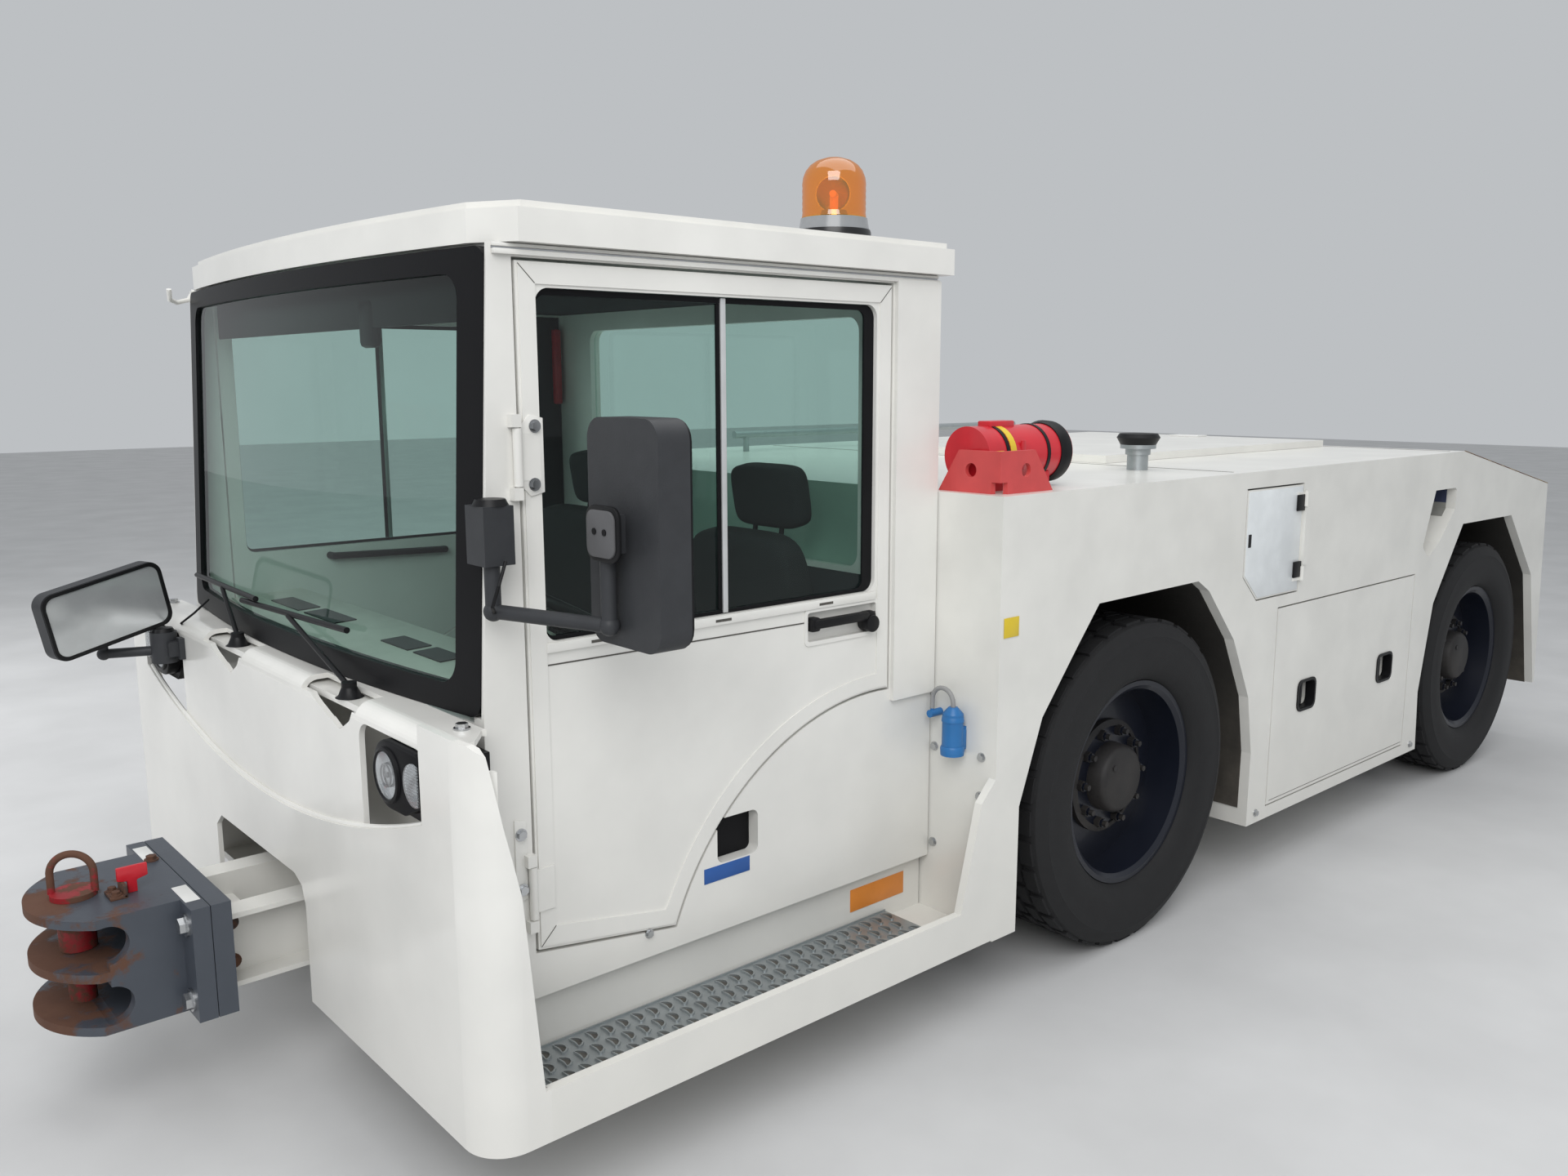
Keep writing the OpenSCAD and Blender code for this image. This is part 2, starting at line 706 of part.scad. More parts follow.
module front_jaws() {
    plates_x = jaw_x + 83;
    color([0.2, 0.2, 0.21]) lay() difference() {
        union() {
            // two back plates bolted face to face, with a seam between them
            translate([jaw_x, -jaw_w / 2, jaw_z]) cube([42, jaw_w, jaw_h]);
            translate([jaw_x + 44, -jaw_w / 2, jaw_z]) cube([39, jaw_w, jaw_h]);
            translate([jaw_x + 10, -jaw_w / 2 + 5, jaw_z + 5]) cube([60, jaw_w - 10, jaw_h - 10]);
            // three jaw plates between two cheeks
            for (z = [0, 120, jaw_h - jaw_t])
                translate([front_reach, 0, jaw_z + z]) linear_extrude(jaw_t)
                    jaw_2d(215, 180, front_reach - plates_x + 10);
            both() translate([plates_x - 10, 150, jaw_z]) cube([158, 30, jaw_h]);
            translate([plates_x - 1, -160, jaw_z]) cube([20, 320, jaw_h]);
        }
        // flame-cut mouths in the cheeks, pin holes
        for (z = [62, 198])
            translate([plates_x + 149, -300, jaw_z + z]) rotate([-90, 0, 0]) cylinder(h = 600, r = 43);
        translate([pin_x, 0, jaw_z - 7]) cylinder(h = 200, r = tow_pin_r + 0.08);
        translate([pin_x, 0, jaw_z + 150]) cylinder(h = 200, r = tow_pin_r + 10.08);
    }
}

// lifting hoop of a tow pin, standing on its washer
module hoop(r, wire) {
    translate([0, 0, r - 4]) rotate([90, 0, 0]) rotate_extrude(angle = 180) translate([r, 0]) circle(wire, $fn = 20);
    for (s = [-1, 1])
        translate([s * r, 0, -4]) cylinder(h = r + 1, r = wire - 0.05, $fn = 20);
}

module front_tow_pin() {
    step_z = jaw_z + 142;
    top_z = jaw_z + jaw_h;
    color([0.7, 0.07, 0.06]) lay() translate([pin_x, 0, 0]) {
        translate([0, 0, jaw_z + 1]) cylinder(h = step_z - jaw_z, r = tow_pin_r);
        translate([0, 0, step_z]) cylinder(h = top_z - step_z + 2, r = tow_pin_r + 10);
        translate([0, 0, top_z + 0.4]) cylinder(h = 12, r = tow_pin_r + 19);
        translate([0, 0, top_z + 13]) rotate(-28) hoop(44, 8);
    }
}

module rear_jaws() {
    tail = function (z) tail_low_x - 0.5 + (z - 268) * 75 / (tail_z - 268);
    color([0.2, 0.2, 0.21]) lay() difference() {
        union() {
            plate_y(-170, 340) polygon([[tail(370), 370], [tail(630), 630], [tail_low_x - 30, 630],
                                        [tail_low_x - 30, 370]]);
            for (z = [400, 490, 580])
                mirror([1, 0, 0]) translate([rear_reach, 0, z]) linear_extrude(jaw_t)
                    jaw_2d(130, 125, rear_reach + tail_low_x - 20);
        }
        translate([-rear_reach + 85, 0, 380]) cylinder(h = 300, r = tow_pin_r - 3 + 0.08);
    }
}

module rear_tow_pin() {
    top_z = 580 + jaw_t;
    color([0.7, 0.07, 0.06]) lay() translate([-rear_reach + 85, 0, 0]) {
        translate([0, 0, 392]) cylinder(h = top_z - 391, r = tow_pin_r - 3);
        translate([0, 0, top_z + 0.4]) cylinder(h = 12, r = tow_pin_r + 5);
        translate([0, 0, top_z + 13]) rotate(90) hoop(27, 5);
    }
}

// each lamp: distance in from the body side, height, radius
module headlamps() {
    color([0.03, 0.03, 0.035]) lay() both() {
        plate_x(2030, 24) translate([half_w - 292, 876]) polygon([[-118, 45], [-75, 82], [80, 82], [112, 50],
                                                                  [112, -50], [75, -84], [-70, -84], [-118, -42]]);
        plate_x(1949.3, 84) translate([half_w - 377, 820]) square([180, 110]);
        for (lamp = [[335, 881, 52], [229, 885, 42]])
            plate_x(2053, 8) translate([half_w - lamp[0], lamp[1]]) circle(lamp[2]);
    }
}

module mirrors() {
    color([0.07, 0.07, 0.075]) lay() {
        // left mirror: clamp on the pillar, cranked arm, head
        arm_y = cab_y + 48;
        stem_y = mirror_reach - 132;
        translate([1905, cab_y + 0.3, 1292]) cube([62, 70, 110]);
        bar([1942, arm_y, 1300], [1942, arm_y, 1206], 15);
        translate([1942, arm_y, 1205]) sphere(r = 19);
        bar([1942, arm_y, 1205], [1822, stem_y, 1192], 14);
        translate([1822, stem_y, 1192]) sphere(r = 19);
        bar([1822, stem_y, 1192], [1822, stem_y, 1385], 15);
        translate([1790, stem_y - 30, 1325]) cube([52, 60, 70]);
        translate([1735, mirror_reach - 220, 1152]) plate_x(0, 68) rounded(220, 412, 40);
        // right mirror: a clamp on the nose above the lamp, an arm under the head, and the head,
        // which is turned to show the coupling
        clamp_y = -half_w + 477;
        low = [2112, clamp_y, 905];
        far = [2250, clamp_y - 52, 905];
        joint = [2250, clamp_y - 52, 1015];
        translate([2076.3, clamp_y + 32, 884]) cube([14, 30, 58]);
        translate([2084, clamp_y, 892]) cube([30, 50, 40]);
        translate([2112, clamp_y, 872]) cylinder(h = 84, r = 34);
        bar(low, far, 13);
        translate(far) sphere(r = 17);
        bar(far, joint, 12);
        translate(joint - [0, 15, 0]) rotate([-90, 0, 0]) cylinder(h = 62, r = 25);
        translate([2245, clamp_y + 26, 1034]) rotate([90, 0, 16]) linear_extrude(44)
            rotate(-11) translate([-163, -90]) rounded(326, 180, 34);
    }
}

module beacon() {
    color([0.95, 0.5, 0.05]) lay() translate([935, cab_y - 97, roof_z + roof_h]) {
        cylinder(h = 22, r = 88);
        translate([0, 0, 21]) cylinder(h = 20, r = 82);
        translate([0, 0, 40]) cylinder(h = 90, r = 76);
        translate([0, 0, 129]) rotate_extrude() intersection() {
            scale([1, 1]) circle(76);
            square([76, 76]);
            translate([0, -40]) circle(104);
        }
    }
}

module lifting_brackets() {
    corner_y = half_w - 35;
    color([0.72, 0.1, 0.09]) lay() both() difference() {
        union() {
            plate_x(628, 12) polygon([[corner_y - 200, deck_z + 0.2], [corner_y - 134, deck_z + 105],
                                      [corner_y, deck_z + 105], [corner_y, deck_z + 0.2]]);
            plate_y(corner_y - 12, 12) polygon([[430, deck_z + 0.2], [505, deck_z + 105], [640, deck_z + 105],
                                                [640, deck_z + 0.2]]);
        }
        translate([600, corner_y - 94, deck_z + 56]) rotate([0, 90, 0]) cylinder(h = 60, r = eye_r);
        translate([540, corner_y + 38, deck_z + 56]) rotate([90, 0, 0]) cylinder(h = 60, r = eye_r);
        translate([640, corner_y, deck_z - 1]) cylinder(h = 30, r = 28);
    }
}

module extinguisher() {
    mid_y = half_w - 167;
    color([0.75, 0.04, 0.05]) lay() {
        translate([300, mid_y, deck_z + 88]) rotate([0, 90, 0]) cylinder(h = 312, r = 74);
        translate([278, mid_y, deck_z + 88]) rotate([0, 90, 0]) cylinder(h = 23, r = 80);
        for (x = [350, 540])
            translate([x, mid_y - 60, deck_z + 0.2]) cube([36, 120, 40]);
    }
}

module deck_fittings() {
    far_y = half_w - 297;
    color([0.5, 0.5, 0.51]) lay() {
        for (part = [[0.2, 48, 32], [47, 20, 38], [66, 12, 54]])
            translate([-353, far_y, deck_z + part[0]]) cylinder(h = part[1], r = part[2]);
        // grab rail on the far edge of the deck
        for (x = [-1700, -900, -100])
            translate([x, -far_y, deck_z + 0.2]) cylinder(h = 66, r = 12);
        bar([-1760, -far_y, deck_z + 66], [-40, -far_y, deck_z + 66], 14);
    }
}

module engine_lid() {
    color([0.9, 0.89, 0.83]) lay() {
        difference() {
            translate([lid_x, -lid_y, deck_z + 0.5]) cube([-lid_x - 518, 2 * lid_y, 26]);
            translate([lid_x + 12, -lid_y + 12, deck_z]) cube([-lid_x - 542, 2 * lid_y - 24, 20]);
        }
        difference() {
            translate([lid_x + 28, -lid_y + 28, deck_z - 26]) cube([-lid_x - 574, 2 * lid_y - 56, 48]);
            translate([lid_x + 40, -lid_y + 40, deck_z - 30]) cube([-lid_x - 598, 2 * lid_y - 80, 50]);
        }
        for (x = [-1800, -1340, -880])
            translate([x, -lid_y - 8, deck_z + 14]) rotate([0, 90, 0]) difference() {
                cylinder(h = 120, r = 9);
                translate([0, 0, -1]) cylinder(h = 122, r = 4.06);
            }
    }
}

module fuel_hatch() {
    color([0.9, 0.89, 0.83]) lay() {
        plate_y(half_w - 12, 12) hatch_2d(-1);
        for (z = [985, 1225])
            difference() {
                union() {
                    translate([-848, half_w + 9, z]) cylinder(h = 46, r = 8);
                    translate([-846, half_w - 0.5, z]) cube([44, 6.5, 46]);
                }
                translate([-848, half_w + 9, z - 1]) cylinder(h = 48, r = 3.06);
            }
    }
}

module service_panel() {
    grips_x = [-956, service_x + 210];
    translate([service_x - 18, half_w - 6, 254]) rotate([0, 90, 0]) cylinder(h = -service_x - 692, r = 4);
    difference() {
        plate_y(half_w - 12, 12) service_2d(-1);
        for (x = grips_x)
            plate_y(half_w - 13, 14) translate([x - 55, 540]) rounded(110, 92, 22);
    }
    for (x = grips_x)
        plate_y(half_w - 40, 29) difference() {
            translate([x - 66, 529]) rounded(132, 114, 26);
            translate([x - 55, 540]) rounded(110, 92, 22);
        }
}

module service_panel_left() {
    color([0.9, 0.89, 0.83]) lay() service_panel();
}

module service_panel_right() {
    color([0.9, 0.89, 0.83]) lay() mirror([0, 1, 0]) service_panel();
}

module charge_lead() {
    plug_y = half_w - 117;
    bend_r = 35;
    color([0.08, 0.3, 0.6]) lay() {
        translate([702, plug_y, 690]) cylinder(h = 105, r = 27);
        translate([bulkhead_x + 0.3, plug_y - 18, 700]) cube([26, 36, 60]);
        // the lead: up out of the plug, over, and down to its gland
        for (y = [plug_y, plug_y - 2 * bend_r])
            translate([702, y, 790]) cylinder(h = 30, r = 5);
        translate([702, plug_y - bend_r, 820]) rotate([90, 0, 90]) rotate_extrude(angle = 180)
            translate([bend_r, 0]) circle(5, $fn = 20);
        translate([bulkhead_x + 0.3, plug_y - 2 * bend_r, 782]) rotate([0, 90, 0]) cylinder(h = 42, r = 10);
    }
}

chassis();
body_sides();
step_floor();
front_apron();
nose_panel();
step_gratings();
cab_frame();
cab_roof();
windscreen_rubber();
cab_glass();
door_left();
door_right();
door_glass_left();
door_glass_right();
dashboard();
steering_wheel();
seats();
wipers();
engine_block();
front_axle();
rear_axle();
knuckle_left();
knuckle_right();
rim_front_left();
rim_front_right();
rim_rear_left();
rim_rear_right();
tyre_front_left();
tyre_front_right();
tyre_rear_left();
tyre_rear_right();
coupling_frame();
front_jaws();
front_tow_pin();
rear_jaws();
rear_tow_pin();
headlamps();
mirrors();
beacon();
lifting_brackets();
extinguisher();
deck_fittings();
engine_lid();
fuel_hatch();
service_panel_left();
service_panel_right();
charge_lead();
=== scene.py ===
"""Looks of the aircraft pushback tractor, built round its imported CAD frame."""

import logging
import math
from dataclasses import dataclass, field
from enum import Enum

import bmesh
import bpy
from mathutils import Matrix, Vector


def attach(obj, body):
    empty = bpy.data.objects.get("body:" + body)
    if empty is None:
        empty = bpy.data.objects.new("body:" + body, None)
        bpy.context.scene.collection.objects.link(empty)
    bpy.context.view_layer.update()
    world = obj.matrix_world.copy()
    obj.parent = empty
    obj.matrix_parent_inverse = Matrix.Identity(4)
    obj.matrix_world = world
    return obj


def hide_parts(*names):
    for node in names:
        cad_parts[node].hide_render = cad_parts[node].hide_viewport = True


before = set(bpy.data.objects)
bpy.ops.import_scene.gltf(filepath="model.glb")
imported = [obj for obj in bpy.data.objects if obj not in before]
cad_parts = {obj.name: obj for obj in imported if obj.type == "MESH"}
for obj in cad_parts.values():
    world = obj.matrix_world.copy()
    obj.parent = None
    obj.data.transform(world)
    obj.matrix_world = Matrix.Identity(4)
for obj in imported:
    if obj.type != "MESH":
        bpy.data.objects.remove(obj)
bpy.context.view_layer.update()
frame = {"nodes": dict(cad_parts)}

log = logging.getLogger("tractor")

# metres from the CAD tables' origin, on the front axle line, to the row frame's
SHIFT = 0.373
SHIFT_Y = -0.0825

# faces that pieces sit on, in millimetres of the CAD tables
SIDE_Y = 1097.0
DOOR_Y = 877.0
DECK_Z = 1350.0
AXLE_Z = 479.0
WHEELBASE = 2460.0

# linear colours with full alpha
DUST = (0.3, 0.26, 0.21, 1)
RUST_DARK = (0.055, 0.02, 0.012, 1)
RUST_LIGHT = (0.15, 0.072, 0.042, 1)

Outline = list[tuple[float, float]]
Colour = tuple[float, float, float, float]
Socket = bpy.types.NodeSocket
Value = Socket | float | Colour


def place(x: float, y: float, z: float) -> Vector:
    """Turns a point of the CAD tables into the row frame.

    Args:
        x: millimetres ahead of the front axle line.
        y: millimetres to the left of the centre line.
        z: millimetres above the ground.

    Returns:
        The point in metres.
    """
    return Vector((x / 1000 + SHIFT, y / 1000 + SHIFT_Y, z / 1000))


class Side(Enum):
    """The two sides of the tractor, with the sign of their Y."""

    LEFT = 1
    RIGHT = -1

    @property
    def word(self) -> str:
        """The side's name in body names."""
        return self.name.lower()


class Wear(Enum):
    """How worn a surface looks."""

    CLEAN = 0.0
    USED = 0.5
    OLD = 1.0


class Nodes:
    """The node tree of a material in the making."""

    def __init__(self, name: str) -> None:
        """Starts a material with the nodes that Blender gives it.

        Args:
            name: material name.
        """
        self.material = bpy.data.materials.new(name)
        self.material.use_nodes = True
        self.tree = self.material.node_tree
        self.coords = self.add("TexCoord").outputs["Object"]

    def feed(self, socket: Socket, value: Value) -> None:
        """Links an output to an input, or sets the input's value.

        Args:
            socket: the input.
            value: the output or the value.
        """
        if isinstance(value, bpy.types.NodeSocket):
            self.tree.links.new(value, socket)
        else:
            socket.default_value = value

    def fill(self, node: bpy.types.Node, inputs: dict[str | int, Value]) -> None:
        """Feeds several inputs of a node.

        Args:
            node: the node.
            inputs: outputs or values by the inputs' names or places.
        """
        for key, value in inputs.items():
            self.feed(node.inputs[key], value)

    def add(self, kind: str, inputs: dict[str | int, Value] | None = None) -> bpy.types.Node:
        """Adds a node.

        Args:
            kind: its type, without the word ShaderNode in front.
            inputs: outputs or values by the inputs' names or places.

        Returns:
            The node.
        """
        node = self.tree.nodes.new(f"ShaderNode{kind}")
        self.fill(node, inputs or {})
        return node

    def axis(self, letter: str) -> Socket:
        """Gives one coordinate of the shaded point.

        Args:
            letter: X, Y or Z.

        Returns:
            The coordinate's socket, in metres.
        """
        return self.add("SeparateXYZ", {"Vector": self.coords}).outputs[letter]

    def noise(self, scale: float, detail: float = 2.0, rough: float = 0.5) -> Socket:
        """Adds a noise that rides on the object.

        Args:
            scale: its size, per metre.
            detail: octaves.
            rough: how strong the finer octaves are.

        Returns:
            The noise's socket.
        """
        inputs = {"Vector": self.coords, "Scale": scale, "Detail": detail, "Roughness": rough}
        return self.add("TexNoise", inputs).outputs["Fac"]

    def ramp(self, value: Socket, low: Colour, high: Colour, start: float = 0.0,
             end: float = 1.0) -> Socket:
        """Blends two colours by a value.

        Args:
            value: the value.
            low: colour at the start and below.
            high: colour at the end and above.
            start: value at which the blend starts.
            end: value at which it ends.

        Returns:
            The colour's socket.
        """
        node = self.add("ValToRGB", {"Fac": value})
        first, last = node.color_ramp.elements
        first.position, last.position = start, end
        first.color, last.color = low, high
        return node.outputs["Color"]

    def span(self, value: Socket, source: tuple[float, float],
             target: tuple[float, float] = (0.0, 1.0)) -> Socket:
        """Maps one range of values to another, clamped.

        Args:
            value: the value.
            source: range that it is taken from.
            target: range that it is put in.

        Returns:
            The mapped value's socket.
        """
        inputs = {"Value": value, "From Min": source[0], "From Max": source[1],
                  "To Min": target[0], "To Max": target[1]}
        return self.add("MapRange", inputs).outputs["Result"]

    def maths(self, operation: str, *values: Value) -> Socket:
        """Reckons with values.

        Args:
            operation: Blender's name for it.
            values: the values in order.

        Returns:
            The result's socket.
        """
        node = self.add("Math")
        node.operation = operation
        self.fill(node, dict(enumerate(values)))
        return node.outputs[0]

    def mix(self, factor: Socket, under: Socket, over: Value) -> Socket:
        """Lays one colour over another.

        Args:
            factor: how much of it is laid.
            under: the colour below.
            over: the colour on top.

        Returns:
            The mixed colour's socket.
        """
        node = self.add("Mix")
        node.data_type = "RGBA"
        self.fill(node, {"Factor": factor, 6: under, 7: over})
        return node.outputs[2]


def rgba(colour: tuple[float, float, float], factor: float = 1.0) -> Colour:
    """Adds full alpha to a colour.

    Args:
        colour: the colour, linear.
        factor: darkens it.

    Returns:
        The four values.
    """
    return (*(factor * c for c in colour), 1.0)


@dataclass(frozen=True)
class Finish:
    """An opaque procedural finish.

    Args:
        name: material name.
        colour: base colour, linear.
        rough: roughness.
        metal: metallic value.
        coat: clear coat weight.
        grain: strength of the fine bump.
        scale: size of the noise, per metre.
        wear: how much dust lies low down.
        rust: share of the surface that has rusted.
        glow: emission strength.
        gloss: how strongly it mirrors, 0.5 being common.
        rust_ends: distances from the middle, in metres along X, between which the rust grows.
    """

    name: str
    colour: tuple[float, float, float]
    rough: float = 0.5
    metal: float = 0.0
    coat: float = 0.0
    grain: float = 0.0
    scale: float = 14.0
    wear: Wear = Wear.CLEAN
    rust: float = 0.0
    glow: float = 0.0
    gloss: float = 0.5
    rust_ends: tuple[float, float] | None = None

    def build(self) -> bpy.types.Material:
        """Makes the node tree.

        Returns:
            The material.
        """
        nodes = Nodes(self.name)
        shader = nodes.tree.nodes["Principled BSDF"]
        nodes.fill(shader, {"Specular IOR Level": self.gloss, "Roughness": self.rough,
                            "Metallic": self.metal, "Coat Weight": self.coat, "Coat Roughness": 0.12})
        noise = nodes.noise(self.scale, 5.0)
        colour = nodes.ramp(noise, rgba(self.colour, 0.9), rgba(self.colour), 0.35, 0.7)
        if self.wear is not Wear.CLEAN:
            colour = self._dust(nodes, noise, colour)
        if self.rust > 0:
            colour = self._rust(nodes, shader, colour)
        nodes.feed(shader.inputs["Base Color"], colour)
        if self.glow > 0:
            nodes.fill(shader, {"Emission Color": rgba(self.colour), "Emission Strength": self.glow})
        if self.grain > 0:
            bump = nodes.add("Bump", {"Strength": self.grain, "Distance": 0.002,
                                      "Height": nodes.noise(self.scale * 12, 3.0)})
            nodes.feed(shader.inputs["Normal"], bump.outputs["Normal"])
        return nodes.material

    def _dust(self, nodes: Nodes, noise: Socket, colour: Socket) -> Socket:
        """Mixes dust in towards the ground.

        Args:
            nodes: node tree.
            noise: noise that breaks the dust up.
            colour: the clean colour.

        Returns:
            The mixed colour's socket.
        """
        low = nodes.span(nodes.axis("Z"), (0.75, 0.15), (0.0, 0.35 * self.wear.value + 0.05))
        return nodes.mix(nodes.maths("MULTIPLY", low, noise), colour, DUST)

    def _rust(self, nodes: Nodes, shader: bpy.types.Node, colour: Socket) -> Socket:
        """Mixes rust patches in, and roughens them.

        Args:
            nodes: node tree.
            shader: the principled shader.
            colour: the clean colour.

        Returns:
            The mixed colour's socket.
        """
        patches = nodes.noise(self.scale * 0.8, 9.0, 0.7)
        amount = self._towards_ends(nodes, patches) if self.rust_ends else patches
        middle = 0.68 - 0.36 * self.rust
        rusted = nodes.span(amount, (middle - 0.04, middle + 0.04))
        nodes.feed(shader.inputs["Roughness"], nodes.span(rusted, (0.0, 1.0), (self.rough, 0.85)))
        return nodes.mix(rusted, colour, nodes.ramp(patches, RUST_DARK, RUST_LIGHT))

    def _towards_ends(self, nodes: Nodes, amount: Socket) -> Socket:
        """Adds to a value towards both ends of the tractor.

        Args:
            nodes: node tree.
            amount: the value.

        Returns:
            The sum's socket.
        """
        far = nodes.maths("ABSOLUTE", nodes.axis("X"))
        return nodes.maths("ADD", nodes.span(far, self.rust_ends, (0.0, 0.3)), amount)


@dataclass(frozen=True)
class Clear:
    """A see-through finish that lets light pass.

    Args:
        name: material name.
        tint: colour of what shines through.
        rough: roughness of the reflection.
        milk: share of solid colour in it.
        shine: share of light it reflects straight on.
    """

    name: str
    tint: tuple[float, float, float]
    rough: float = 0.02
    milk: float = 0.0
    shine: float = 0.05

    def build(self) -> bpy.types.Material:
        """Makes the node tree. Only faces seen from outside mirror.

        Returns:
            The material.
        """
        nodes = Nodes(self.name)
        nodes.tree.nodes.remove(nodes.tree.nodes["Principled BSDF"])
        tint = nodes.ramp(nodes.noise(3.0), rgba(self.tint, 0.96), rgba(self.tint))
        body = nodes.add("BsdfTransparent", {"Color": tint}).outputs["BSDF"]
        if self.milk > 0:
            solid = nodes.add("BsdfDiffuse", {"Color": rgba(self.tint)}).outputs["BSDF"]
            body = nodes.add("MixShader", {"Fac": self.milk, 1: body, 2: solid}).outputs["Shader"]
        facing = nodes.add("LayerWeight", {"Blend": 0.5}).outputs["Facing"]
        share = nodes.maths("MULTIPLY_ADD", nodes.maths("POWER", facing, 3.0), 0.5, self.shine)
        outside = nodes.maths("SUBTRACT", 1.0, nodes.add("NewGeometry").outputs["Backfacing"])
        gloss = nodes.add("BsdfGlossy", {"Roughness": self.rough}).outputs["BSDF"]
        mixed = nodes.add("MixShader", {"Fac": nodes.maths("MULTIPLY", share, outside), 1: body,
                                        2: gloss}).outputs["Shader"]
        nodes.feed(nodes.tree.nodes["Material Output"].inputs["Surface"], mixed)
        return nodes.material


class Palette:
    """The finishes of the tractor, each made once."""

    CREAM = Finish("cream_paint", (0.81, 0.8, 0.755), 0.34, coat=0.35, scale=5, wear=Wear.USED)
    SHEET = Finish("cream_sheet", (0.82, 0.81, 0.77), 0.3, coat=0.45, scale=4, wear=Wear.USED)
    ZINC = Finish("zinc_coat", (0.42, 0.45, 0.46), 0.42, metal=0.75, scale=40, grain=0.1)
    SEAL = Finish("black_seal", (0.006, 0.006, 0.007), 0.42, grain=0.05, gloss=0.14)
    # dark joints; the same dark also paints the shade in the step slots' openings
    SEAM = Finish("dark_seam_and_slot_shade", (0.09, 0.085, 0.075), 0.8)
    PLASTIC = Finish("grey_plastic", (0.04, 0.042, 0.046), 0.5, grain=0.12, scale=30, gloss=0.3)
    BLACK = Finish("black_plastic", (0.009, 0.009, 0.01), 0.4, grain=0.05, gloss=0.22)
    CLOTH = Finish("seat_cloth", (0.02, 0.02, 0.022), 0.9, grain=0.5, scale=60)
    PALE = Finish("pale_plastic", (0.6, 0.59, 0.53), 0.5, grain=0.08)
    ENGINE = Finish("engine_grey", (0.13, 0.14, 0.15), 0.55, grain=0.1, wear=Wear.OLD)
    AXLE = Finish("axle_black", (0.012, 0.012, 0.014), 0.55, grain=0.15, wear=Wear.USED, gloss=0.35)
    RIM = Finish("rim_blueblack", (0.007, 0.009, 0.017), 0.36, coat=0.15, gloss=0.35)
    RUBBER = Finish("tyre_rubber", (0.016, 0.016, 0.017), 0.72, grain=0.25, scale=25, gloss=0.3)
    JAW = Finish("jaw_grey", (0.062, 0.072, 0.09), 0.42, rust=0.05, grain=0.1, scale=9,
                 rust_ends=(2.72, 2.99))
    RUST = Finish("jaw_rust", (0.035, 0.03, 0.03), 0.75, rust=0.5, grain=0.35, scale=11)
    RED = Finish("red_paint", (0.6, 0.012, 0.025), 0.35, coat=0.3, scale=20)
    RED_OLD = Finish("red_faded", (0.62, 0.07, 0.07), 0.5, scale=20)
    RED_WORN = Finish("red_worn", (0.3, 0.012, 0.018), 0.5, rust=0.56, grain=0.2, scale=16)
    AMBER_FOOT = Finish("beacon_foot", (0.01, 0.01, 0.011), 0.3)
    COLLAR = Finish("beacon_collar", (0.27, 0.28, 0.29), 0.25, coat=0.4)
    STEEL = Finish("bright_steel", (0.55, 0.56, 0.57), 0.25, metal=1.0, grain=0.03)
    MIRROR = Finish("mirror_face", (0.62, 0.64, 0.65), 0.16, metal=0.55)
    BLUE = Finish("blue_plug", (0.02, 0.16, 0.42), 0.4)
    LEAD = Finish("grey_lead", (0.3, 0.3, 0.3), 0.5)
    YELLOW = Finish("yellow_reflector", (0.75, 0.55, 0.03), 0.35)
    ORANGE = Finish("orange_plate", (0.8, 0.27, 0.04), 0.4)
    PLATE_BLUE = Finish("blue_plate", (0.02, 0.1, 0.36), 0.4)
    ALU = Finish("window_divider", (0.72, 0.73, 0.73), 0.32, metal=0.55, grain=0.03)
    LINING = Finish("cab_lining", (0.045, 0.05, 0.054), 0.8, grain=0.15, gloss=0.0)
    GREY = Finish("adapter_grey", (0.1, 0.1, 0.104), 0.5, grain=0.1)
    HATCH = Finish("hatch_white", (0.78, 0.81, 0.82), 0.3, coat=0.3)
    # near-black wheel-bay lining: painted shade in the bays, with dust mixed in low down
    UNDER = Finish("bay_dirt", (0.035, 0.033, 0.03), 0.85, grain=0.4, wear=Wear.OLD, gloss=0.2)
    # painted shade inside the side pockets: dark blue deep in, grey lower on the rear wall, and a
    # darkened cream with rust spots low on the back
    POCKET = Finish("pocket_painted_shade", (0.03, 0.04, 0.09), 0.6)
    POCKET_GREY = Finish("pocket_grey", (0.27, 0.27, 0.25), 0.6)
    HINGE = Finish("pocket_shaded_cream", (0.5, 0.47, 0.41), 0.5, rust=0.1, scale=30)
    WORN = Finish("worn_edge", (0.33, 0.24, 0.12), 0.7, rust=0.5)
    LAMP_AMBER = Finish("lamp_amber", (0.85, 0.28, 0.01), 0.25, glow=0.4)
    WHITE = Finish("white_plate", (0.75, 0.75, 0.73), 0.4)
    TAIL = Finish("tail_red", (0.45, 0.01, 0.01), 0.2)
    GLASS = Clear("cab_glass", (0.84, 0.93, 0.905), shine=0.03)
    LENS = Clear("lamp_lens", (0.95, 0.97, 0.98), 0.05, milk=0.12)
    AMBER = Clear("amber_lens", (1.0, 0.5, 0.05), 0.04, milk=0.14, shine=0.12)

    _made: dict[str, bpy.types.Material] = {}

    @classmethod
    def get(cls, finish: Finish | Clear) -> bpy.types.Material:
        """Returns the material of a finish, making it at its first use.

        Args:
            finish: one of the finishes above.

        Returns:
            The material.
        """
        if finish.name not in cls._made:
            cls._made[finish.name] = finish.build()
        return cls._made[finish.name]

    @classmethod
    def paint_node(cls, finish: Finish | Clear, *nodes: str) -> None:
        """Gives CAD nodes a finish.

        Args:
            finish: the finish.
            nodes: names of CAD nodes.
        """
        for name in nodes:
            mesh = frame["nodes"][name].data
            mesh.materials.clear()
            mesh.materials.append(cls.get(finish))


